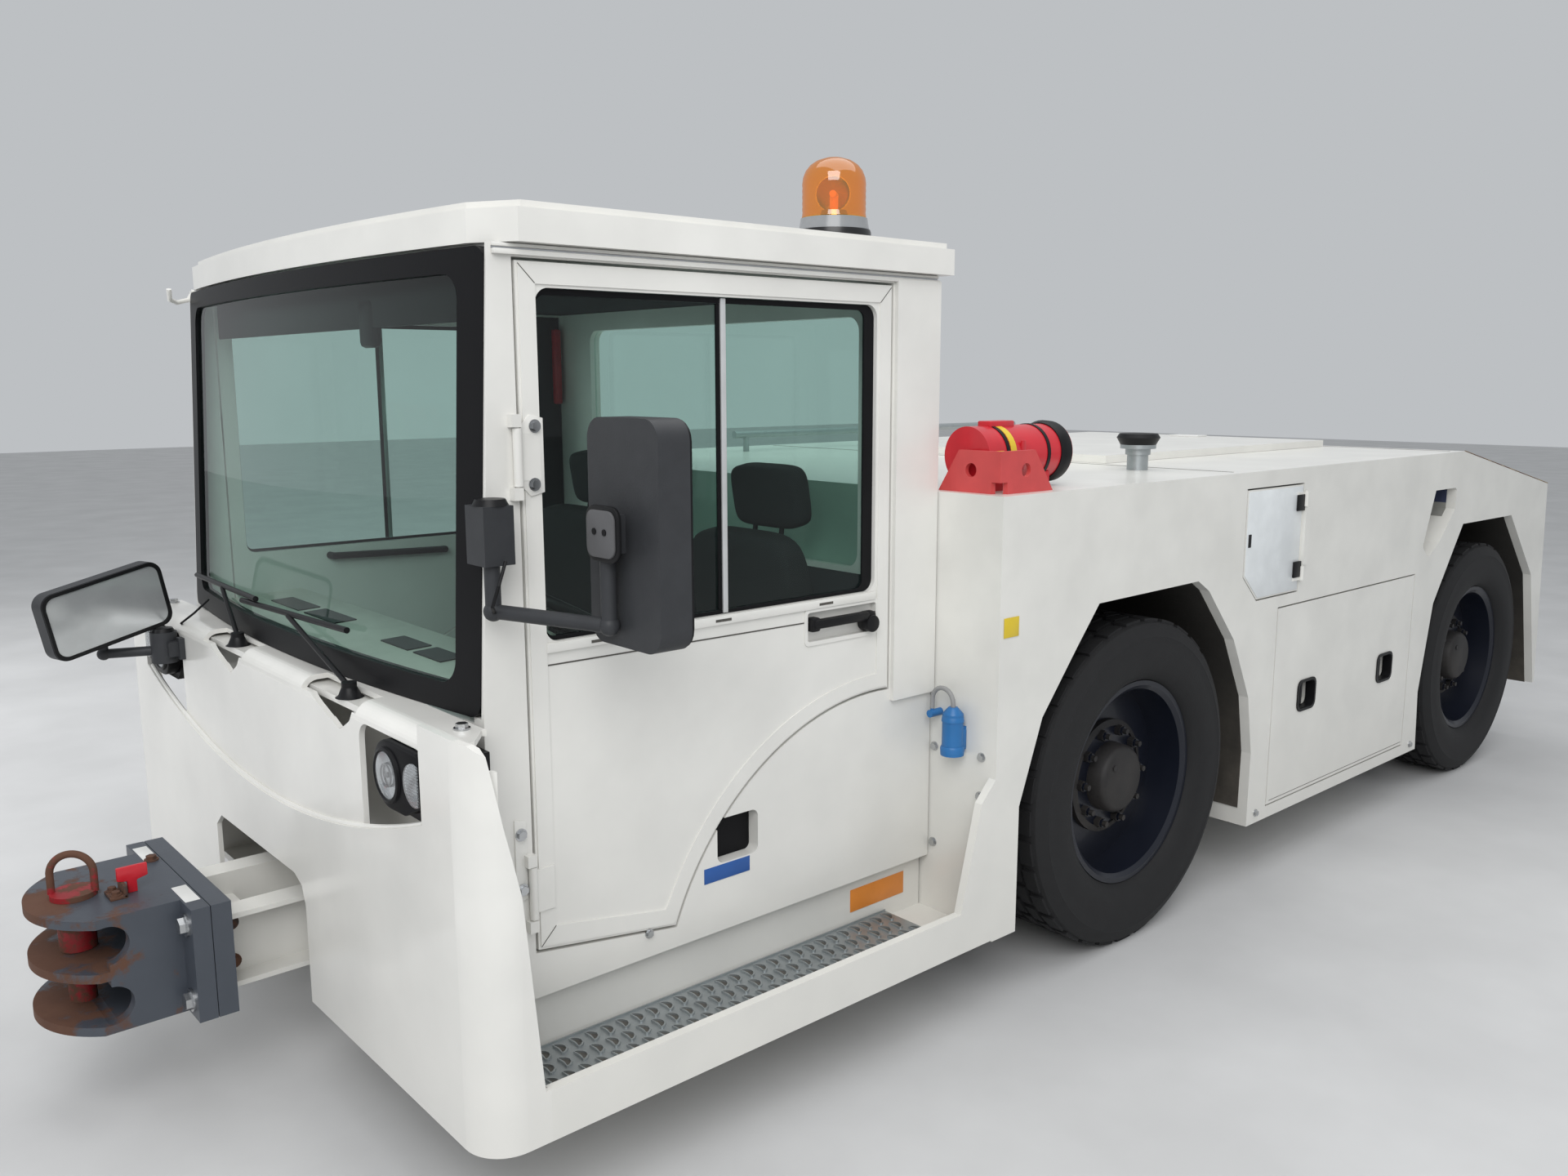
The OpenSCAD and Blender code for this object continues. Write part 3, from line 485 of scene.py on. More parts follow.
class Shape:
    """A mesh in the making. Sizes are metres, points are row-frame vectors."""

    def __init__(self) -> None:
        """Starts with an empty mesh."""
        self.bm = bmesh.new()

    def box(self, low: Vector, high: Vector, round_by: float = 0.0, steps: int = 2) -> "Shape":
        """Adds a block, its edges rounded.

        Args:
            low: one corner.
            high: the opposite corner.
            round_by: radius of its edges.
            steps: segments of the rounding.

        Returns:
            This shape.
        """
        size = Vector(abs(h - l) for l, h in zip(low, high))
        move = Matrix.Translation((low + high) / 2) @ Matrix.Diagonal((*size, 1))
        made = bmesh.ops.create_cube(self.bm, size=1, matrix=move)
        if round_by > 0:
            edges = list({e for v in made["verts"] for e in v.link_edges})
            self._bevel(edges, min(round_by, min(size) * 0.49), steps)
        return self

    def _bevel(self, edges: list, width: float, steps: int) -> None:
        """Rounds edges.

        Args:
            edges: the edges.
            width: radius.
            steps: segments.
        """
        bmesh.ops.bevel(self.bm, geom=edges, offset=width, segments=steps, affect="EDGES",
                        profile=0.5, material=-1, clamp_overlap=True)

    @staticmethod
    def frame_of(start: Vector, end: Vector) -> Matrix:
        """Gives the matrix that puts +Z along a line.

        Args:
            start: the line's start.
            end: its end.

        Returns:
            Rotation and move to the line's start.
        """
        turn = (end - start).to_track_quat("Z", "Y").to_matrix().to_4x4()
        return Matrix.Translation(start) @ turn

    def block(self, x: tuple[float, float], y: tuple[float, float], z: tuple[float, float],
              round_by: float = 0.0) -> "Shape":
        """Adds a block by its ranges in the CAD tables.

        Args:
            x: range ahead of the front axle line, millimetres.
            y: range to the left, millimetres.
            z: range above the ground, millimetres.
            round_by: radius of its edges, millimetres.

        Returns:
            This shape.
        """
        low = place(min(x), min(y), min(z))
        high = place(max(x), max(y), max(z))
        return self.box(low, high, round_by / 1000)

    def bolt(self, at: Vector, out: Vector, size: float = 0.008) -> "Shape":
        """Adds a hexagon bolt head on its washer.

        Args:
            at: where it sits.
            out: unit vector out of the surface.
            size: radius over the corners.

        Returns:
            This shape.
        """
        self.rod(at, at + out * size * 0.3, size * 1.35, sides=16)
        return self.rod(at, at + out * size * 1.0, size, sides=6)

    def line(self, start: Vector, end: Vector, out: Vector, width: float = 0.0016,
             height: float = 0.0008) -> "Shape":
        """Adds a thin straight line that lies on a flat surface.

        Args:
            start: one end.
            end: the other end.
            out: unit vector out of the surface.
            width: the line's width.
            height: how far it stands proud.

        Returns:
            This shape.
        """
        aside = (end - start).cross(out).normalized() * width / 2
        base = [start + aside, end + aside, end - aside, start - aside]
        return self.plate([q - out * height for q in base], out * height * 2)

    def pillow(self, size: tuple[float, float, float], move: Matrix, crown: float = 0.1) -> "Shape":
        """Adds a stuffed block with full, crowned faces.

        Args:
            size: full sizes along its own axes, Z being the sat-on side.
            move: where its middle goes.
            crown: how much the sat-on side swells, as a share of its height.

        Returns:
            This shape.
        """
        made = bmesh.ops.create_cube(self.bm, size=2)
        edges = list({e for v in made["verts"] for e in v.link_edges})
        bmesh.ops.subdivide_edges(self.bm, edges=edges, cuts=7, use_grid_fill=True)
        fresh = [v for v in self.bm.verts if max(abs(c) for c in v.co) <= 1.0001 and not v.tag]
        for v in fresh:
            x, y, z = v.co
            far = sum(abs(c) ** 6 for c in v.co) ** (1 / 6)
            swell = 1 + crown * (1 - x * x) * (1 - y * y) * (1 if z > 0 else 0)
            v.co = Vector((x * size[0], y * size[1], z * size[2] * swell)) / (2 * far)
            v.co = move @ v.co
            v.tag = True
        return self

    def rod(self, start: Vector, end: Vector, radius: float, radius_end: float | None = None,
            sides: int = 24, round_by: float = 0.0) -> "Shape":
        """Adds a round or many-sided bar.

        Args:
            start: centre of one end.
            end: centre of the other end.
            radius: radius at the start.
            radius_end: radius at the end, the same if left out.
            sides: number of sides.
            round_by: radius of the end edges.

        Returns:
            This shape.
        """
        length = (end - start).length
        move = self.frame_of(start, end) @ Matrix.Translation((0, 0, length / 2))
        made = bmesh.ops.create_cone(self.bm, cap_ends=True, segments=sides, radius1=radius,
                                     radius2=radius if radius_end is None else radius_end,
                                     depth=length, matrix=move)
        if round_by > 0:
            faces = {f for v in made["verts"] for f in v.link_faces if len(f.verts) > 4}
            self._bevel(list({e for f in faces for e in f.edges}), round_by, 2)
        return self

    def ball(self, centre: Vector, radius: float, sides: int = 20) -> "Shape":
        """Adds a sphere.

        Args:
            centre: its centre.
            radius: its radius.
            sides: segments round it.

        Returns:
            This shape.
        """
        bmesh.ops.create_uvsphere(self.bm, u_segments=sides, v_segments=sides // 2,
                                  radius=radius, matrix=Matrix.Translation(centre))
        return self

    def lathe(self, profile: Outline, start: Vector, end: Vector,
              steps: int = 48, closed: bool = False) -> "Shape":
        """Spins a profile about a line.

        Args:
            profile: points as (radius, distance along the line), in metres.
            start: a point on the line.
            end: a second point that gives its direction.
            steps: segments of a turn.
            closed: whether the last point joins the first.

        Returns:
            This shape.
        """
        before = set(self.bm.verts)
        move = self.frame_of(start, end)
        line = [self.bm.verts.new(move @ Vector((r, 0, s))) for r, s in profile]
        pairs = list(zip(line, line[1:])) + ([(line[-1], line[0])] if closed else [])
        edges = [self.bm.edges.new(p) for p in pairs]
        axis = (end - start).normalized()
        bmesh.ops.spin(self.bm, geom=line + edges, cent=start, axis=axis, dvec=(0, 0, 0),
                       angle=2 * math.pi, steps=steps, use_merge=True)
        fresh = [v for v in self.bm.verts if v not in before]
        bmesh.ops.remove_doubles(self.bm, verts=fresh, dist=1e-5)
        fresh = [v for v in self.bm.verts if v not in before]
        bmesh.ops.recalc_face_normals(self.bm, faces=list({f for v in fresh for f in v.link_faces}))
        return self

    def plate(self, points: list[Vector], push: Vector, round_by: float = 0.0) -> "Shape":
        """Adds a flat outline with a thickness.

        Args:
            points: the outline, in order.
            push: direction and length of the thickness.
            round_by: radius of its edges.

        Returns:
            This shape.
        """
        verts = [self.bm.verts.new(p) for p in points]
        edges = [self.bm.edges.new(p) for p in zip(verts, verts[1:] + verts[:1])]
        face = bmesh.ops.contextual_create(self.bm, geom=edges)["faces"]
        made = bmesh.ops.extrude_face_region(self.bm, geom=face)["geom"]
        top = [g for g in made if isinstance(g, bmesh.types.BMVert)]
        bmesh.ops.translate(self.bm, verts=top, vec=push)
        everything = list({f for v in verts + top for f in v.link_faces})
        bmesh.ops.recalc_face_normals(self.bm, faces=everything)
        if round_by > 0:
            self._bevel(list({e for f in everything for e in f.edges}), round_by, 2)
        return self

    def ring(self, outer: list[Vector], inner: list[Vector], push: Vector) -> "Shape":
        """Adds a flat frame between two outlines of as many points.

        Args:
            outer: outer outline.
            inner: inner outline.
            push: direction and length of the thickness.

        Returns:
            This shape.
        """
        loops = []
        for outline in (outer, inner):
            verts = [self.bm.verts.new(p) for p in outline]
            loops += [self.bm.edges.new(p) for p in zip(verts, verts[1:] + verts[:1])]
        faces = bmesh.ops.bridge_loops(self.bm, edges=loops)["faces"]
        made = bmesh.ops.extrude_face_region(self.bm, geom=faces)["geom"]
        top = [g for g in made if isinstance(g, bmesh.types.BMVert)]
        bmesh.ops.translate(self.bm, verts=top, vec=push)
        everything = {f for v in top for f in v.link_faces} | set(faces)
        bmesh.ops.recalc_face_normals(self.bm, faces=list(everything))
        return self

    def pipe(self, points: list[Vector], radius: float, sides: int = 12) -> "Shape":
        """Sweeps a circle along points.

        Args:
            points: the middle line.
            radius: the pipe's radius.
            sides: number of sides.

        Returns:
            This shape.
        """
        made = bmesh.ops.create_circle(self.bm, cap_ends=True, segments=sides, radius=radius,
                                       matrix=self.frame_of(points[0], points[1]))
        ring = list({e for v in made["verts"] for e in v.link_edges})
        for i in range(1, len(points)):
            here = points[i]
            ahead = points[min(i + 1, len(points) - 1)] - here
            back = here - points[i - 1]
            old = back.copy()
            if i > 1:
                old = (points[i - 1] - points[i - 2]).normalized() + back.normalized()
            new = back if ahead.length == 0 else back.normalized() + ahead.normalized()
            turn = old.rotation_difference(new).to_matrix()
            geom = bmesh.ops.extrude_edge_only(self.bm, edges=ring)["geom"]
            verts = [g for g in geom if isinstance(g, bmesh.types.BMVert)]
            ring = [g for g in geom if isinstance(g, bmesh.types.BMEdge)
                    and all(v in verts for v in g.verts)]
            bmesh.ops.translate(self.bm, verts=verts, vec=back)
            bmesh.ops.rotate(self.bm, verts=verts, cent=here, matrix=turn)
        bmesh.ops.contextual_create(self.bm, geom=ring)
        return self

    def finish(self, name: str, finish: Finish | Clear, body: str, slot: str,
               replaces: tuple[str, ...] = (), smooth: float = 40.0) -> bpy.types.Object:
        """Turns the shape into an object that rides on a body.

        Args:
            name: object name.
            finish: its finish.
            body: the CAD body it moves with.
            slot: the record's material slot. Not used.
            replaces: CAD nodes it stands for.
            smooth: faces under this angle are shaded smooth, in degrees.

        Returns:
            The object.
        """
        mesh = bpy.data.meshes.new(name)
        self.bm.normal_update()
        for face in self.bm.faces:
            face.smooth = True
        for edge in self.bm.edges:
            sharp = len(edge.link_faces) != 2 or edge.calc_face_angle(0) > math.radians(smooth)
            edge.smooth = not sharp
        self.bm.to_mesh(mesh)
        self.bm.free()
        obj = bpy.data.objects.new(name, mesh)
        bpy.context.scene.collection.objects.link(obj)
        mesh.materials.append(Palette.get(finish))
        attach(obj, body)
        if replaces:
            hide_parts(*replaces)
        return obj


def rounded(width: float, height: float, radius: float, steps: int = 5) -> Outline:
    """Outline of a rounded rectangle about its middle.

    Args:
        width: full width.
        height: full height.
        radius: corner radius.
        steps: segments per corner.

    Returns:
        Points in order.
    """
    points = []
    for quarter, (sx, sy) in enumerate(((1, 1), (-1, 1), (-1, -1), (1, -1))):
        for i in range(steps + 1):
            angle = math.radians(90 * quarter + 90 * i / steps)
            points.append((sx * (width / 2 - radius) + radius * math.cos(angle),
                           sy * (height / 2 - radius) + radius * math.sin(angle)))
    return points


def moved(outline: Outline, x: float, z: float) -> Outline:
    """Moves a flat outline.

    Args:
        outline: points.
        x: added to the first coordinate.
        z: added to the second.

    Returns:
        The moved points.
    """
    return [(a + x, b + z) for a, b in outline]


def arc(x: float, z: float, radius: float, angles: range) -> Outline:
    """Points on a circle.

    Args:
        x: first coordinate of its middle.
        z: second coordinate of its middle.
        radius: its radius.
        angles: the points' angles, in degrees.

    Returns:
        Points in order.
    """
    return [(x + radius * math.cos(math.radians(a)), z + radius * math.sin(math.radians(a)))
            for a in angles]


def put(shape: Shape, name: str, finish: Finish | Clear, slot: str, body: str = "tractor",
        **more: object) -> bpy.types.Object:
    """Finishes a shape on a body, the tractor's own if none is named.

    Args:
        shape: the shape.
        name: object name.
        finish: its finish.
        slot: material slot.
        body: body it rides on.
        more: further arguments of Shape.finish.

    Returns:
        The object.
    """
    return shape.finish(name, finish, body, slot, **more)


@dataclass
class Wheel:
    """One wheel's tread, nuts and cap. Radii and distances along the axis are metres.

    Args:
        end: front or rear.
        side: the side it's on.
        blocks: pairs of tread blocks round the tyre.
        middle: the tyre's middle from the centre line, millimetres.
        groove: radius of the tread's base.
        crown: radius over the blocks.
        bands: distances from the middle between which each row of blocks lies.
        nuts: number of nuts.
        nut_circle: radius of the circle they stand on.
        half: the tyre's outline as (radius, distance from the middle), one side of it.
        cap: the hub cap's outline.
        lip: outline of the ring round the hub.
    """

    end: str
    side: Side
    blocks: int = 66
    middle: float = 950.0
    groove: float = 0.4705
    crown: float = 0.4788
    bands: tuple = ((0.0, 0.015), (0.026, 0.058), (0.07, 0.11))
    nuts: int = 10
    nut_circle: float = 0.138
    half: tuple = (
        (0.2866, 0.09), (0.299, 0.097), (0.3015, 0.1075), (0.306, 0.113), (0.312, 0.121),
        (0.33, 0.1295), (0.336, 0.1325), (0.36, 0.1365), (0.395, 0.1378), (0.425, 0.1345),
        (0.43, 0.1355), (0.436, 0.1325), (0.452, 0.1275), (0.4665, 0.119), (0.4705, 0.110),
        (0.4705, 0.070), (0.465, 0.068), (0.465, 0.060), (0.4705, 0.058), (0.4705, 0.026),
        (0.465, 0.024), (0.465, 0.016), (0.4705, 0.014))
    cap: tuple = ((0.0, 0.08), (0.084, 0.08), (0.093, 0.074), (0.1, 0.064), (0.103, 0.02), (0.0, 0.02))
    lip: tuple = ((0.168, 0.0), (0.168, 0.018), (0.15, 0.024), (0.15, 0.0))

    @property
    def body(self) -> str:
        """The wheel's body name."""
        return f"{self.end}_{self.side.word}_wheel"

    def at(self, s: float) -> Vector:
        """Point on the wheel's axis.

        Args:
            s: millimetres outboard of the tyre's middle.

        Returns:
            The point.
        """
        x = 0.0 if self.end == "front" else -WHEELBASE
        return place(x, self.side.value * (self.middle + s), AXLE_Z)

    def build(self) -> None:
        """Makes the tyre and the small parts of the hub."""
        self._tyre()
        self._hub()

    def _row(self, mid: Vector) -> int:
        """Row of tread blocks that a face belongs to.

        Args:
            mid: the face's middle, seen from the wheel's.

        Returns:
            0 for the middle row, 1 and 2 further out, -1 for no row.
        """
        if math.hypot(mid.x, mid.z) < self.groove - 0.001:
            return -1
        for row, (low, high) in enumerate(self.bands):
            if (low < abs(mid.y) or row == 0) and abs(mid.y) < high:
                return row
        return -1

    def _tyre(self) -> None:
        """Spins the tyre and raises its tread blocks."""
        shape = Shape()
        steps = self.blocks * 2
        profile = [*self.half, *((r, -s) for r, s in reversed(self.half))]
        shape.lathe(profile, self.at(0), self.at(1), steps=steps, closed=True)
        centre = self.at(0)
        raised = []
        for face in shape.bm.faces:
            mid = face.calc_center_median() - centre
            row = self._row(mid)
            if row < 0:
                continue
            step = int((math.atan2(mid.z, mid.x) / (2 * math.pi) % 1) * steps)
            lean = row if mid.y > 0 else 2 * row
            if (step + lean) % 4 != 3:
                raised.append(face)
        made = bmesh.ops.extrude_face_region(shape.bm, geom=raised)["geom"]
        top = [g for g in made if isinstance(g, bmesh.types.BMVert)]
        grow = (self.crown / self.groove, 1.0, self.crown / self.groove)
        bmesh.ops.scale(shape.bm, verts=top, vec=grow, space=Matrix.Translation(-centre))
        bmesh.ops.delete(shape.bm, geom=raised, context="FACES")
        shape.finish(f"tread_{self.body}", Palette.RUBBER, self.body, "tyre_rubber",
                     (f"tyre_{self.end}_{self.side.word}",), smooth=34)

    def _hub(self) -> None:
        """Makes the nuts, studs and hub cap bolts."""
        shape = Shape()
        for i in range(self.nuts):
            angle = math.tau * i / self.nuts
            out = Vector((math.cos(angle), 0, math.sin(angle))) * self.nut_circle
            shape.rod(self.at(22) + out, self.at(40) + out, 0.0165, sides=6)
            shape.rod(self.at(39) + out, self.at(58) + out, 0.0085, sides=12)
        shape.lathe(self.cap, self.at(0), self.at(1000), steps=44)
        plug = Vector((0.05, 0, 0.045))
        shape.rod(self.at(79) + plug, self.at(84) + plug, 0.009, sides=6)
        shape.lathe(self.lip, self.at(3), self.at(4), steps=40)
        shape.finish(f"hub_bits_{self.body}", Palette.AXLE, self.body, "rim_paint")


@dataclass
class Door:
    """Frame strip, window parts, handle and hinge bolts of one door. Sizes are millimetres.

    Args:
        side: the side it's on.
        rear: X of the door's rear edge.
        front: X of its front edge.
        top: height of its upper edge.
        curve: middle and radius of its curved lower edge.
        sill: start and slope of its straight lower edge.
        border: width of the raised strip along its edge.
        pane: distance of the window's face from the centre line.
        bolts: X and Z of the upper hinge's bolts.
    """

    side: Side
    rear: float = 836.0
    front: float = 1846.0
    top: float = 1849.0
    curve: tuple[float, float, float] = (870.0, 190.0, 678.0)
    sill: tuple[float, float, float] = (1490.0, 434.0, 0.146)
    border: float = 41.0
    pane: float = 861.4
    bolts: tuple = ((1823, 1432), (1819, 1543))

    @property
    def out(self) -> Vector:
        """Unit vector out of the door."""
        return Vector((0, self.side.value, 0))

    def at(self, x: float, y: float, z: float) -> Vector:
        """Point on this side.

        Args:
            x: ahead of the front axle line.
            y: away from the centre line.
            z: above the ground.

        Returns:
            The point.
        """
        return place(x, self.side.value * y, z)

    def wall(self, outline: Outline, y: float) -> list[Vector]:
        """Stands a flat outline at a distance from the centre line.

        Args:
            outline: points in X and Z.
            y: distance.

        Returns:
            The points.
        """
        return [self.at(x, y, z) for x, z in outline]

    def span(self, y0: float, y1: float) -> tuple[float, float]:
        """Range of Y on this side.

        Args:
            y0: one distance from the centre line.
            y1: the other.

        Returns:
            The two, with this side's sign.
        """
        return self.side.value * y0, self.side.value * y1

    def outline(self, inset: float) -> Outline:
        """Outline of the door in X and Z, drawn in all round.

        Args:
            inset: how far it is drawn in.

        Returns:
            Points in order: rear top, down the curved edge, front bottom, front top.
        """
        middle, base, radius = self.curve[0], self.curve[1], self.curve[2] + inset
        start = math.degrees(math.acos((self.rear + inset - middle) / radius))
        points = [(self.rear + inset, self.top - inset)]
        for i in range(33):
            angle = math.radians(start - i * (start - 21) / 32)
            x, z = middle + radius * math.cos(angle), base + radius * math.sin(angle)
            low = self.sill[1] + inset + (x - self.sill[0]) * self.sill[2]
            points.append((x, max(z, low)))
        edge = self.front - inset
        return points + [(edge, 487 + inset), (edge, self.top - inset)]

    def keep(self, shape: Shape, name: str, finish: Finish | Clear, slot: str = "cream_paint") -> None:
        """Finishes a shape on this door.

        Args:
            shape: the shape.
            name: what it is.
            finish: its finish.
            slot: material slot.
        """
        put(shape, f"door_{name}_{self.side.word}", finish, slot, f"{self.side.word}_door")

    def build(self) -> None:
        """Makes the pieces."""
        self._frame()
        self._seams()
        self._window()
        self._handle()

    def _frame(self) -> None:
        """Makes the raised strip, the window sill, the handle's frame and the hinge plate."""
        shape = Shape()
        shape.ring(self.wall(self.outline(5), DOOR_Y), self.wall(self.outline(self.border), DOOR_Y),
                   self.out * 0.0035)
        shape.block((885, 1806), self.span(DOOR_Y, 883), (1097, 1117), 2)
        shape.ring(self.wall(moved(rounded(246, 90, 14), 995, 1055), DOOR_Y),
                   self.wall(moved(rounded(226, 70, 6), 995, 1055), DOOR_Y), self.out * 0.003)
        shape.plate(self.wall([(1800, 1416), (1830, 1409), (1848, 1428), (1848, 1546), (1830, 1565),
                               (1800, 1558)], 880.5), self.out * 0.0035, 0.001)
        self.keep(shape, "frame", Palette.SHEET)

    def _seams(self) -> None:
        """Draws the strip's mitred corners, the sill's lower edge and its drain slots."""
        shape = Shape()
        mitres = (((841, 1844), (877, 1808)), ((1841, 1844), (1806, 1809)), ((1841, 492), (1806, 528)))
        for a, b in mitres:
            shape.line(self.at(a[0], 880.5, a[1]), self.at(b[0], 880.5, b[1]), self.out, 0.0014)
        shape.line(self.at(882, DOOR_Y, 1066), self.at(1806, DOOR_Y, 1072), self.out, 0.003)
        for x in (1660, 1340, 1030):
            shape.block((x, x + 44), self.span(882.5, 883.6), (1104, 1110))
        self.keep(shape, "seams", Palette.SEAM)

    def _window(self) -> None:
        """Makes the window's seal and divider."""
        shape = Shape()
        shape.ring(self.wall(moved(rounded(919, 683, 30), 1345, 1460), self.pane),
                   self.wall(moved(rounded(880, 662, 20), 1358, 1458), self.pane), self.out * 0.005)
        shape.block((1352, 1362), self.span(self.pane, 866), (1128, 1788))
        self.keep(shape, "seal", Palette.SEAL, "black_rubber")
        shape = Shape()
        shape.block((1338, 1352), self.span(self.pane, 870), (1120, 1800), 1.5)
        self.keep(shape, "divider", Palette.ALU)

    def _handle(self) -> None:
        """Makes the handle, the bar inside and the hinge bolts."""
        shape = Shape()
        shape.block((916, 1100), self.span(DOOR_Y, 898), (1050, 1074), 9)
        shape.block((1076, 1104), self.span(864, 892), (1044, 1078), 6)
        shape.block((890, 932), self.span(864, 894), (1028, 1072), 10)
        shape.rod(self.at(909, 864, 1042), self.at(909, 900, 1042), 0.021, sides=24, round_by=0.002)
        bar = ((1175, 838, 1076), (1180, 816, 1078), (1366, 812, 1084), (1552, 816, 1090),
               (1558, 838, 1091))
        shape.pipe([self.at(*q) for q in bar], 0.011)
        self.keep(shape, "handle", Palette.BLACK, "black_plastic")
        shape = Shape()
        for x, z in self.bolts:
            shape.bolt(self.at(x, 884, z), self.out, 0.0095)
        self.keep(shape, "bolts", Palette.STEEL)


@dataclass
class CabInside:
    """Linings, dashboard parts and seats. Sizes are millimetres.

    Args:
        floor: height of the cab floor.
        back: X of the rear wall's face.
        width: half the room's width.
        seat_y: distance of each seat's middle from the centre line.
        vents: ranges of Y of the vents on the dashboard.
        gauges: Y of the gauges' middles.
        cushions: per cushion its name, sizes in metres, place in X and Z, lean in degrees and crown.
    """

    floor: float = 413.4
    back: float = 710.5
    width: float = 815.0
    seat_y: float = 420.0
    vents: tuple = ((-660, -450), (-410, -200), (90, 240), (270, 410))
    gauges: tuple = (320, 400, 480)
    cushions: tuple = (
        ("cushion", (0.5, 0.44, 0.115), (1120, 648), -2.0, 0.22),
        ("backrest", (0.53, 0.43, 0.11), (882, 968), -80.5, 0.2),
        ("headrest", (0.17, 0.27, 0.075), (826, 1318), -80.5, 0.3))

    def build(self) -> None:
        """Makes the pieces."""
        self._linings()
        self._fittings()
        self._dash()
        for side in Side:
            self._seat(side)
        self._bases()

    def _linings(self) -> None:
        """Lays the mat and lines the walls and the box between the seats."""
        shape = Shape()
        shape.block((716, 1900), (-790, 790), (self.floor, 420))
        put(shape, "floor_mat", Palette.SEAL, "black_rubber")
        shape = Shape()
        shape.block((712, 1880), (-self.width, self.width), (1846, 1853), 2)
        shape.block((self.back, 715), (-self.width, self.width), (425, 1115), 2)
        for s in (-1, 1):
            shape.block((711, 829), (s * 833, s * 836.6), (430, 1840), 1)
            shape.block((760, 1500), (s * 70, s * 118), (420, 655), 14)
        shape.block((760, 1500), (-110, 110), (640, 668), 12)
        put(shape, "cab_lining", Palette.LINING, "dash_plastic")

    def _fittings(self) -> None:
        """Makes the sun blind, the inner mirror, pedals, lever and belt reel."""
        shape = Shape()
        shape.block((1864, 1872), (-740, 740), (1742, 1844), 3)
        shape.block((1850, 1876), (222, 300), (1700, 1806), 14)
        shape.rod(place(1862, 262, 1800), place(1862, 262, 1850), 0.009)
        for y in (360, 450):
            shape.block((1585, 1640), (y, y + 52), (452, 470), 6)
            shape.rod(place(1612, y + 26, 460), place(1712, y + 26, 640), 0.011)
        shape.rod(place(1400, 60, 660), place(1372, 62, 845), 0.011)
        shape.ball(place(1371, 62, 858), 0.024)
        put(shape, "cab_bits", Palette.BLACK, "black_plastic")
        shape = Shape()
        shape.block((724, 752), (-822, -796), (1545, 1800), 8)
        put(shape, "belt_reel", Palette.RED, "red_paint")

    def _dash(self) -> None:
        """Raises the dash top, with its vents, the gauge pod and the gauges."""
        shape = Shape()
        top = ((1652, 936.6), (1912, 950.4), (1912, 985), (1896, 994), (1668, 1004), (1652, 996))
        shape.plate([place(x, -800, z) for x, z in top], Vector((0, 1.6, 0)))
        put(shape, "dash_top", Palette.PALE, "dash_plastic")
        shape = Shape()
        for y0, y1 in self.vents:
            shape.plate([place(1744, y0, 1000.5), place(1744, y1, 1000.5), place(1806, y1, 998),
                         place(1806, y0, 998)], Vector((0, 0, 0.003)))
        pod = ((1630, 938), (1690, 942), (1690, 1046), (1672, 1052), (1618, 966))
        shape.plate([place(x, 262, z) for x, z in pod], Vector((0, 0.316, 0)), 0.004)
        put(shape, "dash_vents", Palette.BLACK, "black_plastic")
        shape = Shape()
        out = Vector((-0.847, 0, 0.532))
        for y in self.gauges:
            mid = (place(1618, y, 966) + place(1672, y, 1052)) / 2
            shape.rod(mid + out * 0.001, mid + out * 0.005, 0.026, sides=28)
        put(shape, "gauges", Palette.WHITE, "dash_plastic")

    def _seat(self, side: Side) -> None:
        """Makes one seat's cushions.

        Args:
            side: the side it's on.
        """
        for name, size, (x, z), lean, crown in self.cushions:
            shape = Shape()
            turn = Matrix.Rotation(math.radians(lean), 4, "Y")
            middle = place(x, side.value * self.seat_y, z)
            shape.pillow(size, Matrix.Translation(middle) @ turn, crown)
            obj = put(shape, f"seat_{name}_{side.word}", Palette.CLOTH, "seat_cloth", smooth=70)
            smooth = obj.modifiers.new("smooth", "SUBSURF")
            smooth.levels = smooth.render_levels = 1

    def _bases(self) -> None:
        """Makes the seat stands with their bellows, and the headrests' rods."""
        shape = Shape()
        for s in (-1, 1):
            y = s * self.seat_y
            shape.block((905, 1300), (y - 175, y + 175), (413.5, 436), 6)
            for fold in range(5):
                z = 440 + fold * 27
                narrow = 6 * (fold % 2)
                shape.block((915 + narrow, 1290 - narrow), (y - 165, y + 165), (z, z + 24), 9)
            shape.block((880, 1340), (y - 190, y + 190), (574, 596), 6)
            for d in (-55, 55):
                shape.rod(place(836, y + d, 1215), place(830, y + d, 1255), 0.007)
        put(shape, "seat_stands", Palette.BLACK, "black_plastic", replaces=("seats",))


